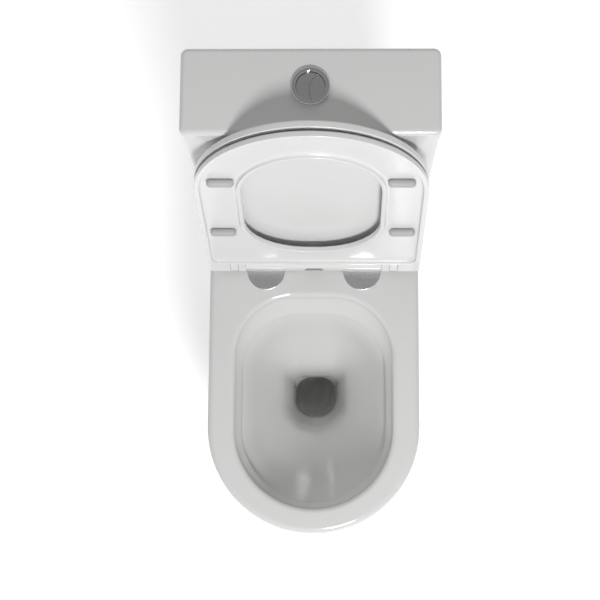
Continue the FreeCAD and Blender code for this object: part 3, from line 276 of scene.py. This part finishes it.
# Rows across the water's way, in mm: y, z, turn from straight down in degrees, half width,
# half length and corner radius.
rim_rows = [
    (-126, 389, 0, 127.5, 171, 99),
    (-129, 380, 0, 122.5, 162, 97),
    (-130.5, 374, 0, 120, 157.5, 96),
]
lip_rows = [
    (-130.5, 371.5, 0, 119.4, 156.5, 96),
    (-130.5, 370.2, 0, 120.2, 157.3, 96),
    (-130.5, 370, 0, 121.5, 158.6, 97),
    (-130.5, 371.5, 0, 123.5, 160.5, 98),
    (-130.5, 375, 0, 124.5, 161.5, 98),
    (-130.5, 376.5, 0, 126, 163, 99),
    (-130.5, 374, 0, 127.3, 164.3, 99),
]
bowl_rows = [
    (-130, 366, 0, 124.5, 161, 98),
    (-129, 354, 0, 116, 152, 94),
    (-126, 336, 0, 106, 140, 84),
    (-120, 308, 0, 92, 121, 66),
    (-108, 274, 0, 74, 91, 46),
    (-99, 250, 0, 61.5, 69, 33),
    (-97, 234, 0, 54.5, 59, 26),
    (-96, 222, 0, 50.5, 53, 22),
    (-94.5, 205, 0, 45.5, 46.5, 18),
    (-91.3, 183, 0, 40.5, 39.7, 16),
    (-89.8, 165, 0, 38, 36.8, 16),
    (-87, 135, 12, 36, 36, 22),
    (-70, 110, 55, 34, 34, 30),
    (-36, 103, 90, 32, 32, 31),
    (0, 110, 112, 32, 32, 31),
    (25, 138, 145, 32, 32, 31),
    (45, 178, 152, 32, 32, 31),
    (66, 209, 128, 32, 32, 31),
    (98, 222, 96, 32, 32, 31),
    (132, 219, 76, 32, 32, 31),
    (166, 202, 58, 32, 32, 31),
    (194, 186, 66, 33, 33, 32),
    (226, 180, 88, 35, 35, 34),
    (252, 180, 90, 40, 40, 39),
    (318, 180, 90, 41, 41, 40),
]


def way_ring(row, thickness=0.0):
    """One outline across the water's way, on a plane that leans with the way."""
    y, z, turn, half, length, corner = row
    half = half * MM + thickness
    length = length * MM + thickness
    corner = min(corner * MM + thickness, half - 0.3 * MM, length - 0.3 * MM)
    nose = min(half, length) - 0.1 * MM
    corners = [(half, -length, nose), (half, length, corner),
               (-half, length, corner), (-half, -length, nose)]
    back = Vector((0, math.cos(math.radians(turn)), math.sin(math.radians(turn))))
    centre = Vector((0, y * MM, z * MM))
    return [centre + Vector((p.x, 0, 0)) + back * p.y
            for p in outline(corners, 0.0, PAN_ARC, PAN_EDGE)]


def make_pan():
    """One closed skin: skirt, rim, bowl, trapway and spigot, then back up inside the skirt."""
    skin = Skin()
    foot_round = 3 * MM
    rim_round = 10 * MM
    mouth_round = 9 * MM
    shell = 11 * MM
    skirt_steps = 26
    way_steps = 96
    rings = [skirt(foot_round * part, foot_round * (1 - along)) for part, along in quarter(4)]
    for k in range(1, skirt_steps + 1):
        rings.append(skirt(foot_round + (band_bottom - foot_round) * k / skirt_steps))
    rings.append(skirt((band_bottom + rim - rim_round) / 2))
    rings += [skirt(rim - rim_round * (1 - along), rim_round * part) for part, along in quarter(8)]
    rings.append(skirt(rim, 16 * MM))
    rings.append(mouth_ring(rim, -mouth_round - 6 * MM))
    rings += [mouth_ring(rim - mouth_round * part, -mouth_round * (1 - along))
              for part, along in quarter(8)]
    rings += [way_ring(row) for row in rim_rows + lip_rows]
    rings += [way_ring(through(bowl_rows, k / way_steps)) for k in range(way_steps + 1)]
    rings += [way_ring(through(bowl_rows[1:], 1 - k / way_steps), shell)
              for k in range(way_steps + 1)]
    rings.append(mouth_ring(roof_under, -shell))
    rings.append(skirt(roof_under, skirt_wall))
    rings += [skirt(band_bottom * (1 - k / skirt_steps), skirt_wall)
              for k in range(skirt_steps + 1)]
    low, high = skin.stack(rings)
    skin.join(high, low)
    pan = skin.object("pan_ceramic", sharp=40)
    cut_outlet(pan)
    return pan


def cut_outlet(pan):
    """The opening in the skirt's back for the soil pipe, cut and applied."""
    cutter_skin = Skin()
    round_top = 30 * MM
    corners = oblong(-outlet_half, outlet_half, -60 * MM, outlet_top, round_top)
    faces = []
    for y in (wall - 30 * MM, wall + 30 * MM):
        faces.append([Vector((p.x, y, p.y)) for p in outline(corners, 0.0, 8, 2)])
    low, high = cutter_skin.stack(faces)
    cutter_skin.cap(list(reversed(low)))
    cutter_skin.cap(high)
    cutter = cutter_skin.object("outlet_cutter")
    cutting = pan.modifiers.new("outlet", "BOOLEAN")
    cutting.operation = "DIFFERENCE"
    cutting.solver = "EXACT"
    cutting.object = cutter
    pan.modifiers.move(len(pan.modifiers) - 1, 0)
    apply_modifiers(pan)
    bpy.data.objects.remove(cutter)
    finish_shading(pan, 40)


def apply_modifiers(piece):
    """Bake the piece's modifiers into its mesh."""
    graph = bpy.context.evaluated_depsgraph_get()
    baked = bpy.data.meshes.new_from_object(piece.evaluated_get(graph), depsgraph=graph)
    piece.modifiers.clear()
    piece.data = baked


# --- cistern ------------------------------------------------------------------------------------

tank_corner = 11 * MM
cistern_wall = 9 * MM
tank_floor = tank_low.z + 14 * MM


def box_ring(low, high, z, inset=0.0, corner=tank_corner, arc=8, edge=10):
    corners = oblong(low.x, high.x, low.y, high.y, corner)
    return level(outline(corners, inset, arc, edge), z)


def make_tank():
    skin = Skin()
    base_round = 10 * MM
    lip = 1.5 * MM
    rings = [box_ring(tank_low, tank_high, tank_low.z + base_round * part, base_round * (1 - along))
             for part, along in quarter(6)]
    rings.append(box_ring(tank_low, tank_high, (tank_low.z + tank_high.z) / 2))
    rings += [box_ring(tank_low, tank_high, tank_high.z - lip * (1 - along), lip * part)
              for part, along in quarter(3)]
    rings.append(box_ring(tank_low, tank_high, tank_high.z, cistern_wall - lip))
    rings.append(box_ring(tank_low, tank_high, tank_high.z - lip, cistern_wall))
    rings.append(box_ring(tank_low, tank_high, tank_floor + lip * 3, cistern_wall))
    rings.append(box_ring(tank_low, tank_high, tank_floor, cistern_wall + lip * 3))
    low, high = skin.stack(rings)
    skin.cap(list(reversed(low)))
    skin.cap(high)
    return skin.object("cistern_ceramic")


def make_cistern_lid():
    """A slab with soft edges, hollow beneath, with a locating lip and the button's hole."""
    skin = Skin()
    edge_round = 8 * MM
    foot = 1.5 * MM
    slab = 13 * MM
    hole_radius = 25 * MM
    hole_round = 1.5 * MM
    hole_margin = 3 * MM
    top_margin = 4 * MM
    side_height = 32 * MM
    lip_depth = 8 * MM
    lip_outer = 11 * MM
    lip_inner = 18 * MM
    hollow_inset = 21 * MM
    slab_bottom = lid_high.z - side_height
    lip_bottom = slab_bottom - lip_depth

    def hole_ring(z, radius):
        around = box_ring(lid_low, lid_high, z)
        return [Vector((0, button_y, z)) + (p - Vector((0, button_y, z))).normalized() * radius
                for p in around]

    rings = [box_ring(lid_low, lid_high, slab_bottom + foot * part, foot * (1 - along))
             for part, along in quarter(3)]
    rings += [box_ring(lid_low, lid_high, lid_top - edge_round * (1 - along), edge_round * part)
              for part, along in quarter(10)]
    rings.append(box_ring(lid_low, lid_high, lid_top, edge_round + top_margin))
    rings.append(hole_ring(lid_top, hole_radius + hole_round + hole_margin))
    rings += [hole_ring(lid_top - hole_round * part, hole_radius + hole_round * (1 - along))
              for part, along in quarter(3)]
    rings.append(hole_ring(lid_top - slab, hole_radius))
    rings.append(box_ring(lid_low, lid_high, lid_top - slab, hollow_inset))
    rings.append(box_ring(lid_low, lid_high, lip_bottom, lip_inner))
    rings.append(box_ring(lid_low, lid_high, lip_bottom, lip_outer))
    rings.append(box_ring(lid_low, lid_high, slab_bottom, lip_outer))
    low, high = skin.stack(rings)
    skin.join(high, low)
    return skin.object("cistern_lid_ceramic")


# --- flush button -------------------------------------------------------------------------------

split_centre = Vector((26 * MM, -6.4 * MM))
split_radius = 27.8 * MM
split_gap = 0.3 * MM
plate_radius = 20.8 * MM
plate_crown = 2.2 * MM


def button_outline(side, inset, arc=30):
    """One half of the round button: side -1 keeps the large part, side 1 the lens on the right."""
    outer = plate_radius - inset
    cut = split_radius + (split_gap / 2 + inset) * -side
    apart = split_centre.length
    toward = split_centre.normalized()
    along = (outer ** 2 - cut ** 2 + apart ** 2) / (2 * apart)
    half_chord = math.sqrt(outer ** 2 - along ** 2)
    across = Vector((-toward.y, toward.x))
    first = toward * along - across * half_chord
    second = toward * along + across * half_chord
    start = math.atan2(first.y, first.x)
    stop = math.atan2(second.y, second.x)
    if side > 0:
        stop += 2 * math.pi if stop < start else 0
        rim_angles = (start, stop)
    else:
        rim_angles = (stop, start + (2 * math.pi if start < stop else 0))
    points = []
    for k in range(arc):
        angle = rim_angles[0] + (rim_angles[1] - rim_angles[0]) * k / arc
        points.append(Vector((math.cos(angle), math.sin(angle))) * outer)
    begin, finish = (second, first) if side > 0 else (first, second)
    a = begin - split_centre
    b = finish - split_centre
    angle_a = math.atan2(a.y, a.x)
    angle_b = math.atan2(b.y, b.x)
    if angle_b < angle_a and side > 0:
        angle_b += 2 * math.pi
    if angle_b > angle_a and side < 0:
        angle_b -= 2 * math.pi
    for k in range(arc):
        angle = angle_a + (angle_b - angle_a) * k / arc
        points.append(split_centre + Vector((math.cos(angle), math.sin(angle))) * cut)
    return points


def make_button(name, side, low, high):
    skin = Skin()
    edge_round = 0.5 * MM
    top = high.z
    middle = Vector((-6 * MM, 1 * MM)) if side < 0 else Vector((10 * MM, -2 * MM))

    def crowned(points, drop=0.0):
        return [Vector((p.x, p.y + button_y, top - drop - plate_crown * (p.length / plate_radius) ** 2))
                for p in points]

    outline_points = button_outline(side, 0.0)
    rings = [[Vector((p.x, p.y + button_y, low.z)) for p in outline_points]]
    rings += [crowned(button_outline(side, edge_round * part), edge_round * (1 - along))
              for part, along in quarter(4)]
    inner = button_outline(side, edge_round)
    for k in range(1, 9):
        rings.append(crowned([middle.lerp(p, 1 - k / 9) for p in inner]))
    start, end = skin.stack(rings)
    skin.cap(list(reversed(start)))
    skin.cap(end)
    return skin.object(name)


def make_bezel():
    """The chrome ring on the lid: a soft roll outside, a chamfered well inside."""
    centre = Vector((0, button_y, 0))
    outer = bezel_high.x
    well = 21.1 * MM
    height = bezel_high.z - lid_top
    profile = [(24.4 * MM, bezel_low.z), (24.4 * MM, lid_top + 0.3 * MM),
               (outer - 0.5 * MM, lid_top + 0.3 * MM)]
    for part, along in quarter(8):
        profile.append((outer - 3.4 * MM * part, lid_top + 0.6 * MM + (height - 0.6 * MM) * along))
    profile += [(outer - 4.2 * MM, bezel_high.z), (well + 2.2 * MM, bezel_high.z - 0.15 * MM)]
    profile += [(well + 1.9 * MM - 1.9 * MM * k / 5, bezel_high.z - 0.2 * MM - 2.2 * MM * (k / 5) ** 2)
                for k in range(1, 6)]
    profile.append((well, bezel_low.z))
    return revolve("button_bezel_chrome", centre, profile, sides=128, sharp=30)


# --- seat and seat lid, drawn closed round the hinge axis -----------------------------------------

leaf_half = pan_half
leaf_near = -446 * MM
leaf_tail = 12 * MM
notch_depth = -15 * MM
seat_arc = 16
seat_edge = 8


def leaf_corners(notches):
    """Outline of a leaf with notches cut in its tail; each notch is (from, to) in x."""
    corners = [(leaf_half, leaf_near, leaf_half - 0.1 * MM), (leaf_half, leaf_tail, 9 * MM)]
    spans = sorted(notches + [(-b, -a) for a, b in notches if a > 0], key=lambda s: -s[1])
    for start, stop in spans:
        corners += [(stop, leaf_tail, 1.5 * MM), (stop, notch_depth, 1.5 * MM),
                    (start, notch_depth, 1.5 * MM), (start, leaf_tail, 1.5 * MM)]
    corners += [(-leaf_half, leaf_tail, 9 * MM), (-leaf_half, leaf_near, leaf_half - 0.1 * MM)]
    return corners


def leaf_ring(corners, z, inset=0.0):
    return level(outline(corners, inset, seat_arc, seat_edge), z)


def make_seat():
    """The ring: crowned above, and below a tray between an outer and an inner lip."""
    skin = Skin()
    top = -4 * MM
    bottom = -14 * MM
    floor = bottom + 6 * MM
    top_round = 3 * MM
    edge_round = 1.2 * MM
    tray_round = 3 * MM
    lip_round = 4.7 * MM
    outer = leaf_corners([(125.5 * MM, 138.7 * MM), (-112.65 * MM, 112.65 * MM)])
    opening = horseshoe(105.5 * MM, -377 * MM, -67 * MM, 97.5 * MM)
    inner_lip = horseshoe(111.9 * MM, -383.4 * MM, -60.6 * MM, 97.5 * MM)
    tray = horseshoe(167 * MM, -438 * MM, -19 * MM, 14 * MM)

    side = [leaf_ring(outer, bottom + edge_round * part, edge_round * (1 - along))
            for part, along in quarter(3)]
    side += [leaf_ring(outer, top - top_round * (1 - along), top_round * part)
             for part, along in quarter(5)]
    outer_low, outer_high = skin.stack(side)

    hole = [leaf_ring(opening, top - top_round * part, -top_round * (1 - along))
            for part, along in quarter(5)]
    hole += [leaf_ring(opening, bottom + edge_round * (1 - along), -edge_round * part)
             for part, along in quarter(3)]
    hole += [leaf_ring(inner_lip, bottom + edge_round * part, edge_round * (1 - along))
             for part, along in quarter(3)]
    hole += [leaf_ring(inner_lip, floor - lip_round * (1 - along), -lip_round * part)
             for part, along in quarter(6)]
    hole_high, hole_low = skin.stack(hole)

    wall_rings = [leaf_ring(tray, bottom + edge_round * part, -edge_round * (1 - along))
                  for part, along in quarter(3)]
    wall_rings += [leaf_ring(tray, floor - tray_round * (1 - along), tray_round * part)
                   for part, along in quarter(4)]
    tray_low, tray_floor = skin.stack(wall_rings)

    skin.fill(outer_high, hole_high)
    skin.fill(outer_low, tray_low)
    skin.fill(tray_floor, hole_low)
    for sign in (-1, 1):
        start = Vector((sign * 112.7 * MM, 0, 0))
        skin.tube(start, 10 * MM, 12.6 * MM, Vector((sign, 0, 0)))
    return skin.object("seat_ring_moulded", raised)


def make_seat_lid():
    """The lid: a soft outer edge, and inside it a shallow tray that faces the seat."""
    skin = Skin()
    bottom = 1 * MM
    top = 13 * MM
    top_round = 4 * MM
    edge_round = 1.2 * MM
    tray_depth = 8.5 * MM
    tray_round = 5 * MM
    outer = leaf_corners([(-125.5 * MM, 125.5 * MM)])
    tray = horseshoe(167 * MM, -438 * MM, -19 * MM, 14 * MM)
    side = [leaf_ring(outer, bottom + edge_round * part, edge_round * (1 - along))
            for part, along in quarter(3)]
    side += [leaf_ring(outer, top - top_round * (1 - along), top_round * part)
             for part, along in quarter(6)]
    outer_low, outer_high = skin.stack(side)
    floor = bottom + tray_depth
    hollow = [leaf_ring(tray, bottom + edge_round * part, -edge_round * (1 - along))
              for part, along in quarter(3)]
    hollow += [leaf_ring(tray, floor - tray_round * (1 - along), tray_round * part)
               for part, along in quarter(5)]
    tray_low, tray_floor = skin.stack(hollow)
    skin.fill(outer_low, tray_low)
    skin.fill(tray_floor)
    skin.fill(outer_high)
    knuckle = oblong(-13.5 * MM, leaf_tail, -14 * MM, 12 * MM, 4 * MM)
    for sign in (-1, 1):
        ends = [(125.8, 0.5), (126.3, 0.0), (137.8, 0.0), (138.3, 0.5)]
        rings = [[Vector((sign * x * MM, p.x, p.y)) for p in outline(knuckle, inset * MM, 5, 2)]
                 for x, inset in ends]
        low, high = skin.stack(rings)
        skin.cap(low)
        skin.cap(high)
    return skin.object("seat_lid_moulded", raised)


def make_bumpers():
    """Four rounded pads under the seat."""
    skin = Skin()
    half_length = 20.5 * MM
    half_width = 6.5 * MM
    base = -8 * MM
    face = -19.7 * MM
    soft = 6.2 * MM
    foot = 5.2 * MM
    for reach, x in ((305 * MM, 133.5 * MM), (138 * MM, 140.3 * MM)):
        for sign in (-1, 1):
            corners = oblong(sign * x - half_length, sign * x + half_length,
                             -reach - half_width, -reach + half_width, half_width - 0.1 * MM)
            rings = [level(outline(corners, foot * (1 - along), 10, 4), base - foot * part)
                     for part, along in quarter(6)]
            rings += [level(outline(corners, soft * part, 10, 4), face + soft * (1 - along))
                      for part, along in quarter(8)]
            low, high = skin.stack(rings)
            skin.cap(low)
            skin.cap(high)
    return skin.object("seat_bumper_pads", raised)


def make_discs():
    """Two low metal cover discs where the hinge posts stand on the pan."""
    skin = Skin()
    radius = (disc_high.y - disc_low.y) / 2
    height = disc_high.z - disc_low.z
    middle_y = (disc_high.y + disc_low.y) / 2
    soft = 1.4 * MM
    sides = 96
    for sign in (-1, 1):
        centre = Vector((sign * (disc_high.x - radius), middle_y, disc_low.z))
        rows = [(radius, 0.0), (radius, height * 0.45)]
        rows += [(radius - soft * part, height - 0.9 * MM - soft * (1 - along))
                 for part, along in quarter(5)]
        rows += [((radius - soft) * (1 - k / 6), height - 0.9 * MM * (1 - k / 6) ** 2)
                 for k in range(1, 6)]
        rings = [[centre + Vector((r * math.cos(2 * math.pi * k / sides),
                                   r * math.sin(2 * math.pi * k / sides), z))
                  for k in range(sides)] for r, z in rows]
        low, high = skin.stack(rings)
        skin.cap(list(reversed(low)))
        skin.cap(high)
    return skin.object("hinge_disc_metal", sharp=30)


# --- materials ----------------------------------------------------------------------------------

def node_material(name, colour, metallic=0.0, roughness=(0.2, 0.3), tone=0.02, tone_scale=6.0,
                  grain=0.0, grain_scale=400.0, wave=0.0, wave_scale=12.0, coat=0.0,
                  coat_roughness=0.04, specular=0.5, stretch=(1.0, 1.0, 1.0)):
    """A surface whose colour, roughness and bump all vary a little, at the scale of the real one.

    tone is the share by which the colour drifts, grain is a fine texture in metres of bump depth
    and wave a broad unevenness of the same kind. stretch draws the grain out along an axis.
    """
    material = bpy.data.materials.new(name)
    material.use_nodes = True
    nodes = material.node_tree.nodes
    links = material.node_tree.links
    shader = nodes["Principled BSDF"]
    shader.inputs["Metallic"].default_value = metallic
    shader.inputs["Specular IOR Level"].default_value = specular
    shader.inputs["Coat Weight"].default_value = coat
    shader.inputs["Coat Roughness"].default_value = coat_roughness
    place = nodes.new("ShaderNodeTexCoord")
    mapping = nodes.new("ShaderNodeMapping")
    mapping.inputs["Scale"].default_value = stretch
    links.new(place.outputs["Object"], mapping.inputs["Vector"])

    def noise(scale, detail, seed):
        texture = nodes.new("ShaderNodeTexNoise")
        texture.inputs["Scale"].default_value = scale
        texture.inputs["Detail"].default_value = detail
        texture.inputs["Distortion"].default_value = seed
        links.new(mapping.outputs["Vector"], texture.inputs["Vector"])
        return texture

    drift = noise(tone_scale, 3.0, 0.2)
    ramp = nodes.new("ShaderNodeValToRGB")
    dark = [channel * (1 - tone) for channel in colour]
    light = [min(1.0, channel * (1 + tone)) for channel in colour]
    ramp.color_ramp.elements[0].position = 0.3
    ramp.color_ramp.elements[0].color = (*dark, 1)
    ramp.color_ramp.elements[1].position = 0.7
    ramp.color_ramp.elements[1].color = (*light, 1)
    links.new(drift.outputs["Fac"], ramp.inputs["Fac"])
    links.new(ramp.outputs["Color"], shader.inputs["Base Color"])

    smear = noise(tone_scale * 4, 5.0, 0.6)
    spread = nodes.new("ShaderNodeMapRange")
    spread.inputs["From Min"].default_value = 0.3
    spread.inputs["From Max"].default_value = 0.7
    spread.inputs["To Min"].default_value = roughness[0]
    spread.inputs["To Max"].default_value = roughness[1]
    links.new(smear.outputs["Fac"], spread.inputs["Value"])
    links.new(spread.outputs["Result"], shader.inputs["Roughness"])

    last = None
    for depth, scale, detail in ((grain, grain_scale, 4.0), (wave, wave_scale, 1.0)):
        if depth:
            bump = nodes.new("ShaderNodeBump")
            bump.inputs["Strength"].default_value = 1.0
            bump.inputs["Distance"].default_value = depth
            links.new(noise(scale, detail, 0.0).outputs["Fac"], bump.inputs["Height"])
            if last:
                links.new(last.outputs["Normal"], bump.inputs["Normal"])
            last = bump
    if last:
        links.new(last.outputs["Normal"], shader.inputs["Normal"])
        if coat:
            links.new(last.outputs["Normal"], shader.inputs["Coat Normal"])
    return material


glaze = node_material("ceramic_glaze", (0.66, 0.66, 0.655), roughness=(0.06, 0.12), tone=0.012,
                      tone_scale=5.0, wave=0.00022, wave_scale=9.0, grain=0.00001,
                      grain_scale=240.0, coat=0.35, coat_roughness=0.03)
seat_plastic = node_material("seat_plastic", (0.74, 0.74, 0.737), roughness=(0.17, 0.24), tone=0.008,
                             tone_scale=8.0, wave=0.00008, wave_scale=14.0, grain=0.000006,
                             grain_scale=600.0, coat=0.2, coat_roughness=0.08)
bumper_rubber = node_material("bumper_rubber", (0.43, 0.43, 0.435), roughness=(0.5, 0.65),
                              tone=0.04, tone_scale=40.0, grain=0.00006, grain_scale=900.0)
release_grey = node_material("release_grey", (0.2, 0.2, 0.205), roughness=(0.35, 0.5), tone=0.05,
                             tone_scale=50.0, grain=0.00004, grain_scale=1200.0)
chrome = node_material("chrome_plating", (0.74, 0.74, 0.75), metallic=1.0, roughness=(0.05, 0.1),
                       tone=0.03, tone_scale=60.0, wave=0.00001, wave_scale=60.0)
satin_metal = node_material("satin_metal", (0.78, 0.78, 0.785), metallic=1.0, roughness=(0.26, 0.36),
                            tone=0.05, tone_scale=50.0, grain=0.00001, grain_scale=500.0,
                            stretch=(1.0, 8.0, 1.0))
black_rubber = node_material("black_rubber", (0.02, 0.02, 0.021), roughness=(0.55, 0.75), tone=0.15,
                             tone_scale=30.0, grain=0.00008, grain_scale=900.0)
white_plastic = node_material("white_plastic", (0.72, 0.72, 0.7), roughness=(0.3, 0.42), tone=0.015,
                              tone_scale=25.0, grain=0.00002, grain_scale=900.0)
blue_plastic = node_material("blue_plastic", (0.02, 0.12, 0.42), roughness=(0.3, 0.45), tone=0.06,
                             tone_scale=25.0, grain=0.00003, grain_scale=900.0)
grey_plastic = node_material("grey_plastic", (0.22, 0.23, 0.24), roughness=(0.35, 0.5), tone=0.05,
                             tone_scale=25.0, grain=0.00003, grain_scale=900.0)
steel = node_material("zinc_steel", (0.46, 0.47, 0.48), metallic=1.0, roughness=(0.25, 0.42),
                      tone=0.08, tone_scale=70.0, grain=0.00003, grain_scale=500.0)
brass = node_material("brass", (0.6, 0.42, 0.16), metallic=1.0, roughness=(0.22, 0.36), tone=0.06,
                      tone_scale=60.0, grain=0.00002, grain_scale=500.0)

finishes = {
    "ceramic_glaze": glaze,
    "seat_plastic": seat_plastic,
    "bumper_rubber": bumper_rubber,
    "hinge_release": release_grey,
    "chrome": chrome,
    "black_rubber": black_rubber,
    "white_plastic": white_plastic,
    "blue_plastic": blue_plastic,
    "grey_plastic": grey_plastic,
    "steel": steel,
    "brass": brass,
}


def paint(piece, material):
    piece.data.materials.clear()
    piece.data.materials.append(material)


def stand_for(piece, body, slot, material, *nodes):
    """Give a modelled piece its body and its finish, and hide the CAD nodes that it covers. The slot argument is
    not used.
    """
    paint(piece, material)
    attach(piece, body)
    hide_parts(*nodes)


# --- the object ---------------------------------------------------------------------------------

stand_for(make_pan(), "root", "ceramic_glaze", glaze, "pan", "bowl_and_trap")
stand_for(make_tank(), "root", "ceramic_glaze", glaze, "cistern_tank")
stand_for(make_cistern_lid(), "root", "ceramic_glaze", glaze, "cistern_lid")
stand_for(make_bezel(), "root", "chrome", chrome, "button_bezel")
half_low, half_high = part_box("half_flush_button")
stand_for(make_button("full_flush_plate", -1, full_low, full_high),
          "full_button", "chrome", chrome, "full_flush_button")
stand_for(make_button("half_flush_plate", 1, half_low, half_high),
          "half_button", "chrome", chrome, "half_flush_button")
stand_for(make_discs(), "root", "chrome", satin_metal, "hinge_cover_discs")
stand_for(make_seat(), "seat", "seat_plastic", seat_plastic, "seat_ring")
stand_for(make_bumpers(), "seat", "bumper_rubber", bumper_rubber, "seat_bumpers")
stand_for(make_seat_lid(), "seat_cover", "seat_plastic", seat_plastic, "seat_lid")

for part in frame["record"]["subparts"]:
    if part["node"] in frame["nodes"]:
        paint(frame["nodes"][part["node"]], finishes[part["material_slot"]])


# --- floor, light and camera ----------------------------------------------------------------------

def make_floor():
    """A pale floor that keeps shadows and glows a little to the camera and in reflections."""
    reach = 6.0
    grey = 0.82
    glow_strength = 0.45
    bm = bmesh.new()
    bmesh.ops.create_grid(bm, x_segments=1, y_segments=1, size=reach)
    mesh = bpy.data.meshes.new("floor")
    bm.to_mesh(mesh)
    bm.free()
    floor = bpy.data.objects.new("floor", mesh)
    bpy.context.scene.collection.objects.link(floor)
    material = bpy.data.materials.new("pale_floor")
    material.use_nodes = True
    nodes = material.node_tree.nodes
    links = material.node_tree.links
    nodes.clear()
    output = nodes.new("ShaderNodeOutputMaterial")
    diffuse = nodes.new("ShaderNodeBsdfDiffuse")
    diffuse.inputs["Color"].default_value = (grey, grey, grey, 1)
    glow = nodes.new("ShaderNodeEmission")
    path = nodes.new("ShaderNodeLightPath")
    either = nodes.new("ShaderNodeMath")
    either.operation = "MAXIMUM"
    share = nodes.new("ShaderNodeMath")
    share.operation = "MULTIPLY"
    share.inputs[1].default_value = glow_strength
    total = nodes.new("ShaderNodeAddShader")
    links.new(path.outputs["Is Camera Ray"], either.inputs[0])
    links.new(path.outputs["Is Glossy Ray"], either.inputs[1])
    links.new(either.outputs[0], share.inputs[0])
    links.new(share.outputs[0], glow.inputs["Strength"])
    links.new(diffuse.outputs[0], total.inputs[0])
    links.new(glow.outputs[0], total.inputs[1])
    links.new(total.outputs[0], output.inputs["Surface"])
    mesh.materials.append(material)


def make_world():
    """A soft grey room for light and reflections, seen as plain white by the camera only."""
    below = 0.5
    above = 0.24
    above_from = 0.75
    world = bpy.data.worlds.new("studio")
    bpy.context.scene.world = world
    world.use_nodes = True
    nodes = world.node_tree.nodes
    links = world.node_tree.links
    nodes.clear()
    output = nodes.new("ShaderNodeOutputWorld")
    soft = nodes.new("ShaderNodeBackground")
    soft.inputs["Strength"].default_value = 1.0
    place = nodes.new("ShaderNodeTexCoord")
    split = nodes.new("ShaderNodeSeparateXYZ")
    ramp = nodes.new("ShaderNodeValToRGB")
    low, high = ramp.color_ramp.elements
    low.position, low.color = 0.0, (below, below, below, 1)
    high.position, high.color = above_from, (above, above, above, 1)
    links.new(place.outputs["Generated"], split.inputs[0])
    links.new(split.outputs["Z"], ramp.inputs["Fac"])
    links.new(ramp.outputs["Color"], soft.inputs["Color"])
    white = nodes.new("ShaderNodeBackground")
    white.inputs["Strength"].default_value = 1.0
    white.inputs["Color"].default_value = (1, 1, 1, 1)
    path = nodes.new("ShaderNodeLightPath")
    mix = nodes.new("ShaderNodeMixShader")
    links.new(path.outputs["Is Camera Ray"], mix.inputs["Fac"])
    links.new(soft.outputs[0], mix.inputs[1])
    links.new(white.outputs[0], mix.inputs[2])
    links.new(mix.outputs[0], output.inputs["Surface"])


def area_light(name, place, aim, size, power, mirrored=True):
    """A round lamp; an unmirrored one lights surfaces without showing in their reflections."""
    data = bpy.data.lights.new(name, "AREA")
    data.shape = "DISK"
    data.size = size
    data.energy = power
    lamp = bpy.data.objects.new(name, data)
    bpy.context.scene.collection.objects.link(lamp)
    lamp.location = place
    lamp.visible_glossy = mirrored
    lamp.rotation_euler = (Vector(aim) - Vector(place)).to_track_quat("-Z", "Y").to_euler()


def make_camera():
    """Nearly straight above the pan's front, tipped a little back towards the cistern."""
    pitch = math.radians(79.695)
    yaw = math.radians(-8.317)
    roll = math.radians(-8.045)
    lens = 86.04
    sensor_width = 36
    far = 50
    place = Vector((0.0387, -0.3791, 2.7616))
    ahead = Vector((math.sin(yaw) * math.cos(pitch), math.cos(yaw) * math.cos(pitch), -math.sin(pitch)))
    right = Vector((math.cos(yaw), -math.sin(yaw), 0))
    up = right.cross(ahead)
    rolled_right = right * math.cos(roll) + up * math.sin(roll)
    rolled_up = up * math.cos(roll) - right * math.sin(roll)
    data = bpy.data.cameras.new("camera")
    data.sensor_width = sensor_width
    data.lens = lens
    data.clip_end = far
    camera = bpy.data.objects.new("camera", data)
    bpy.context.scene.collection.objects.link(camera)
    turn = Matrix((rolled_right, rolled_up, -ahead)).transposed().to_4x4()
    camera.matrix_world = Matrix.Translation(place) @ turn
    bpy.context.scene.camera = camera


make_floor()
make_world()
area_light("key", place=(0.42, -1.75, 2.3), aim=(0, 0.1, 0.5), size=0.6, power=50)
area_light("fill_left", place=(-2.2, 0.2, 2.2), aim=(0, 0, 0.4), size=1.6, power=9, mirrored=False)
area_light("fill_behind", place=(0.6, 3.0, 1.5), aim=(0, 0.2, 0.4), size=1.8, power=20, mirrored=False)
make_camera()
bpy.context.scene.view_settings.view_transform = "Standard"
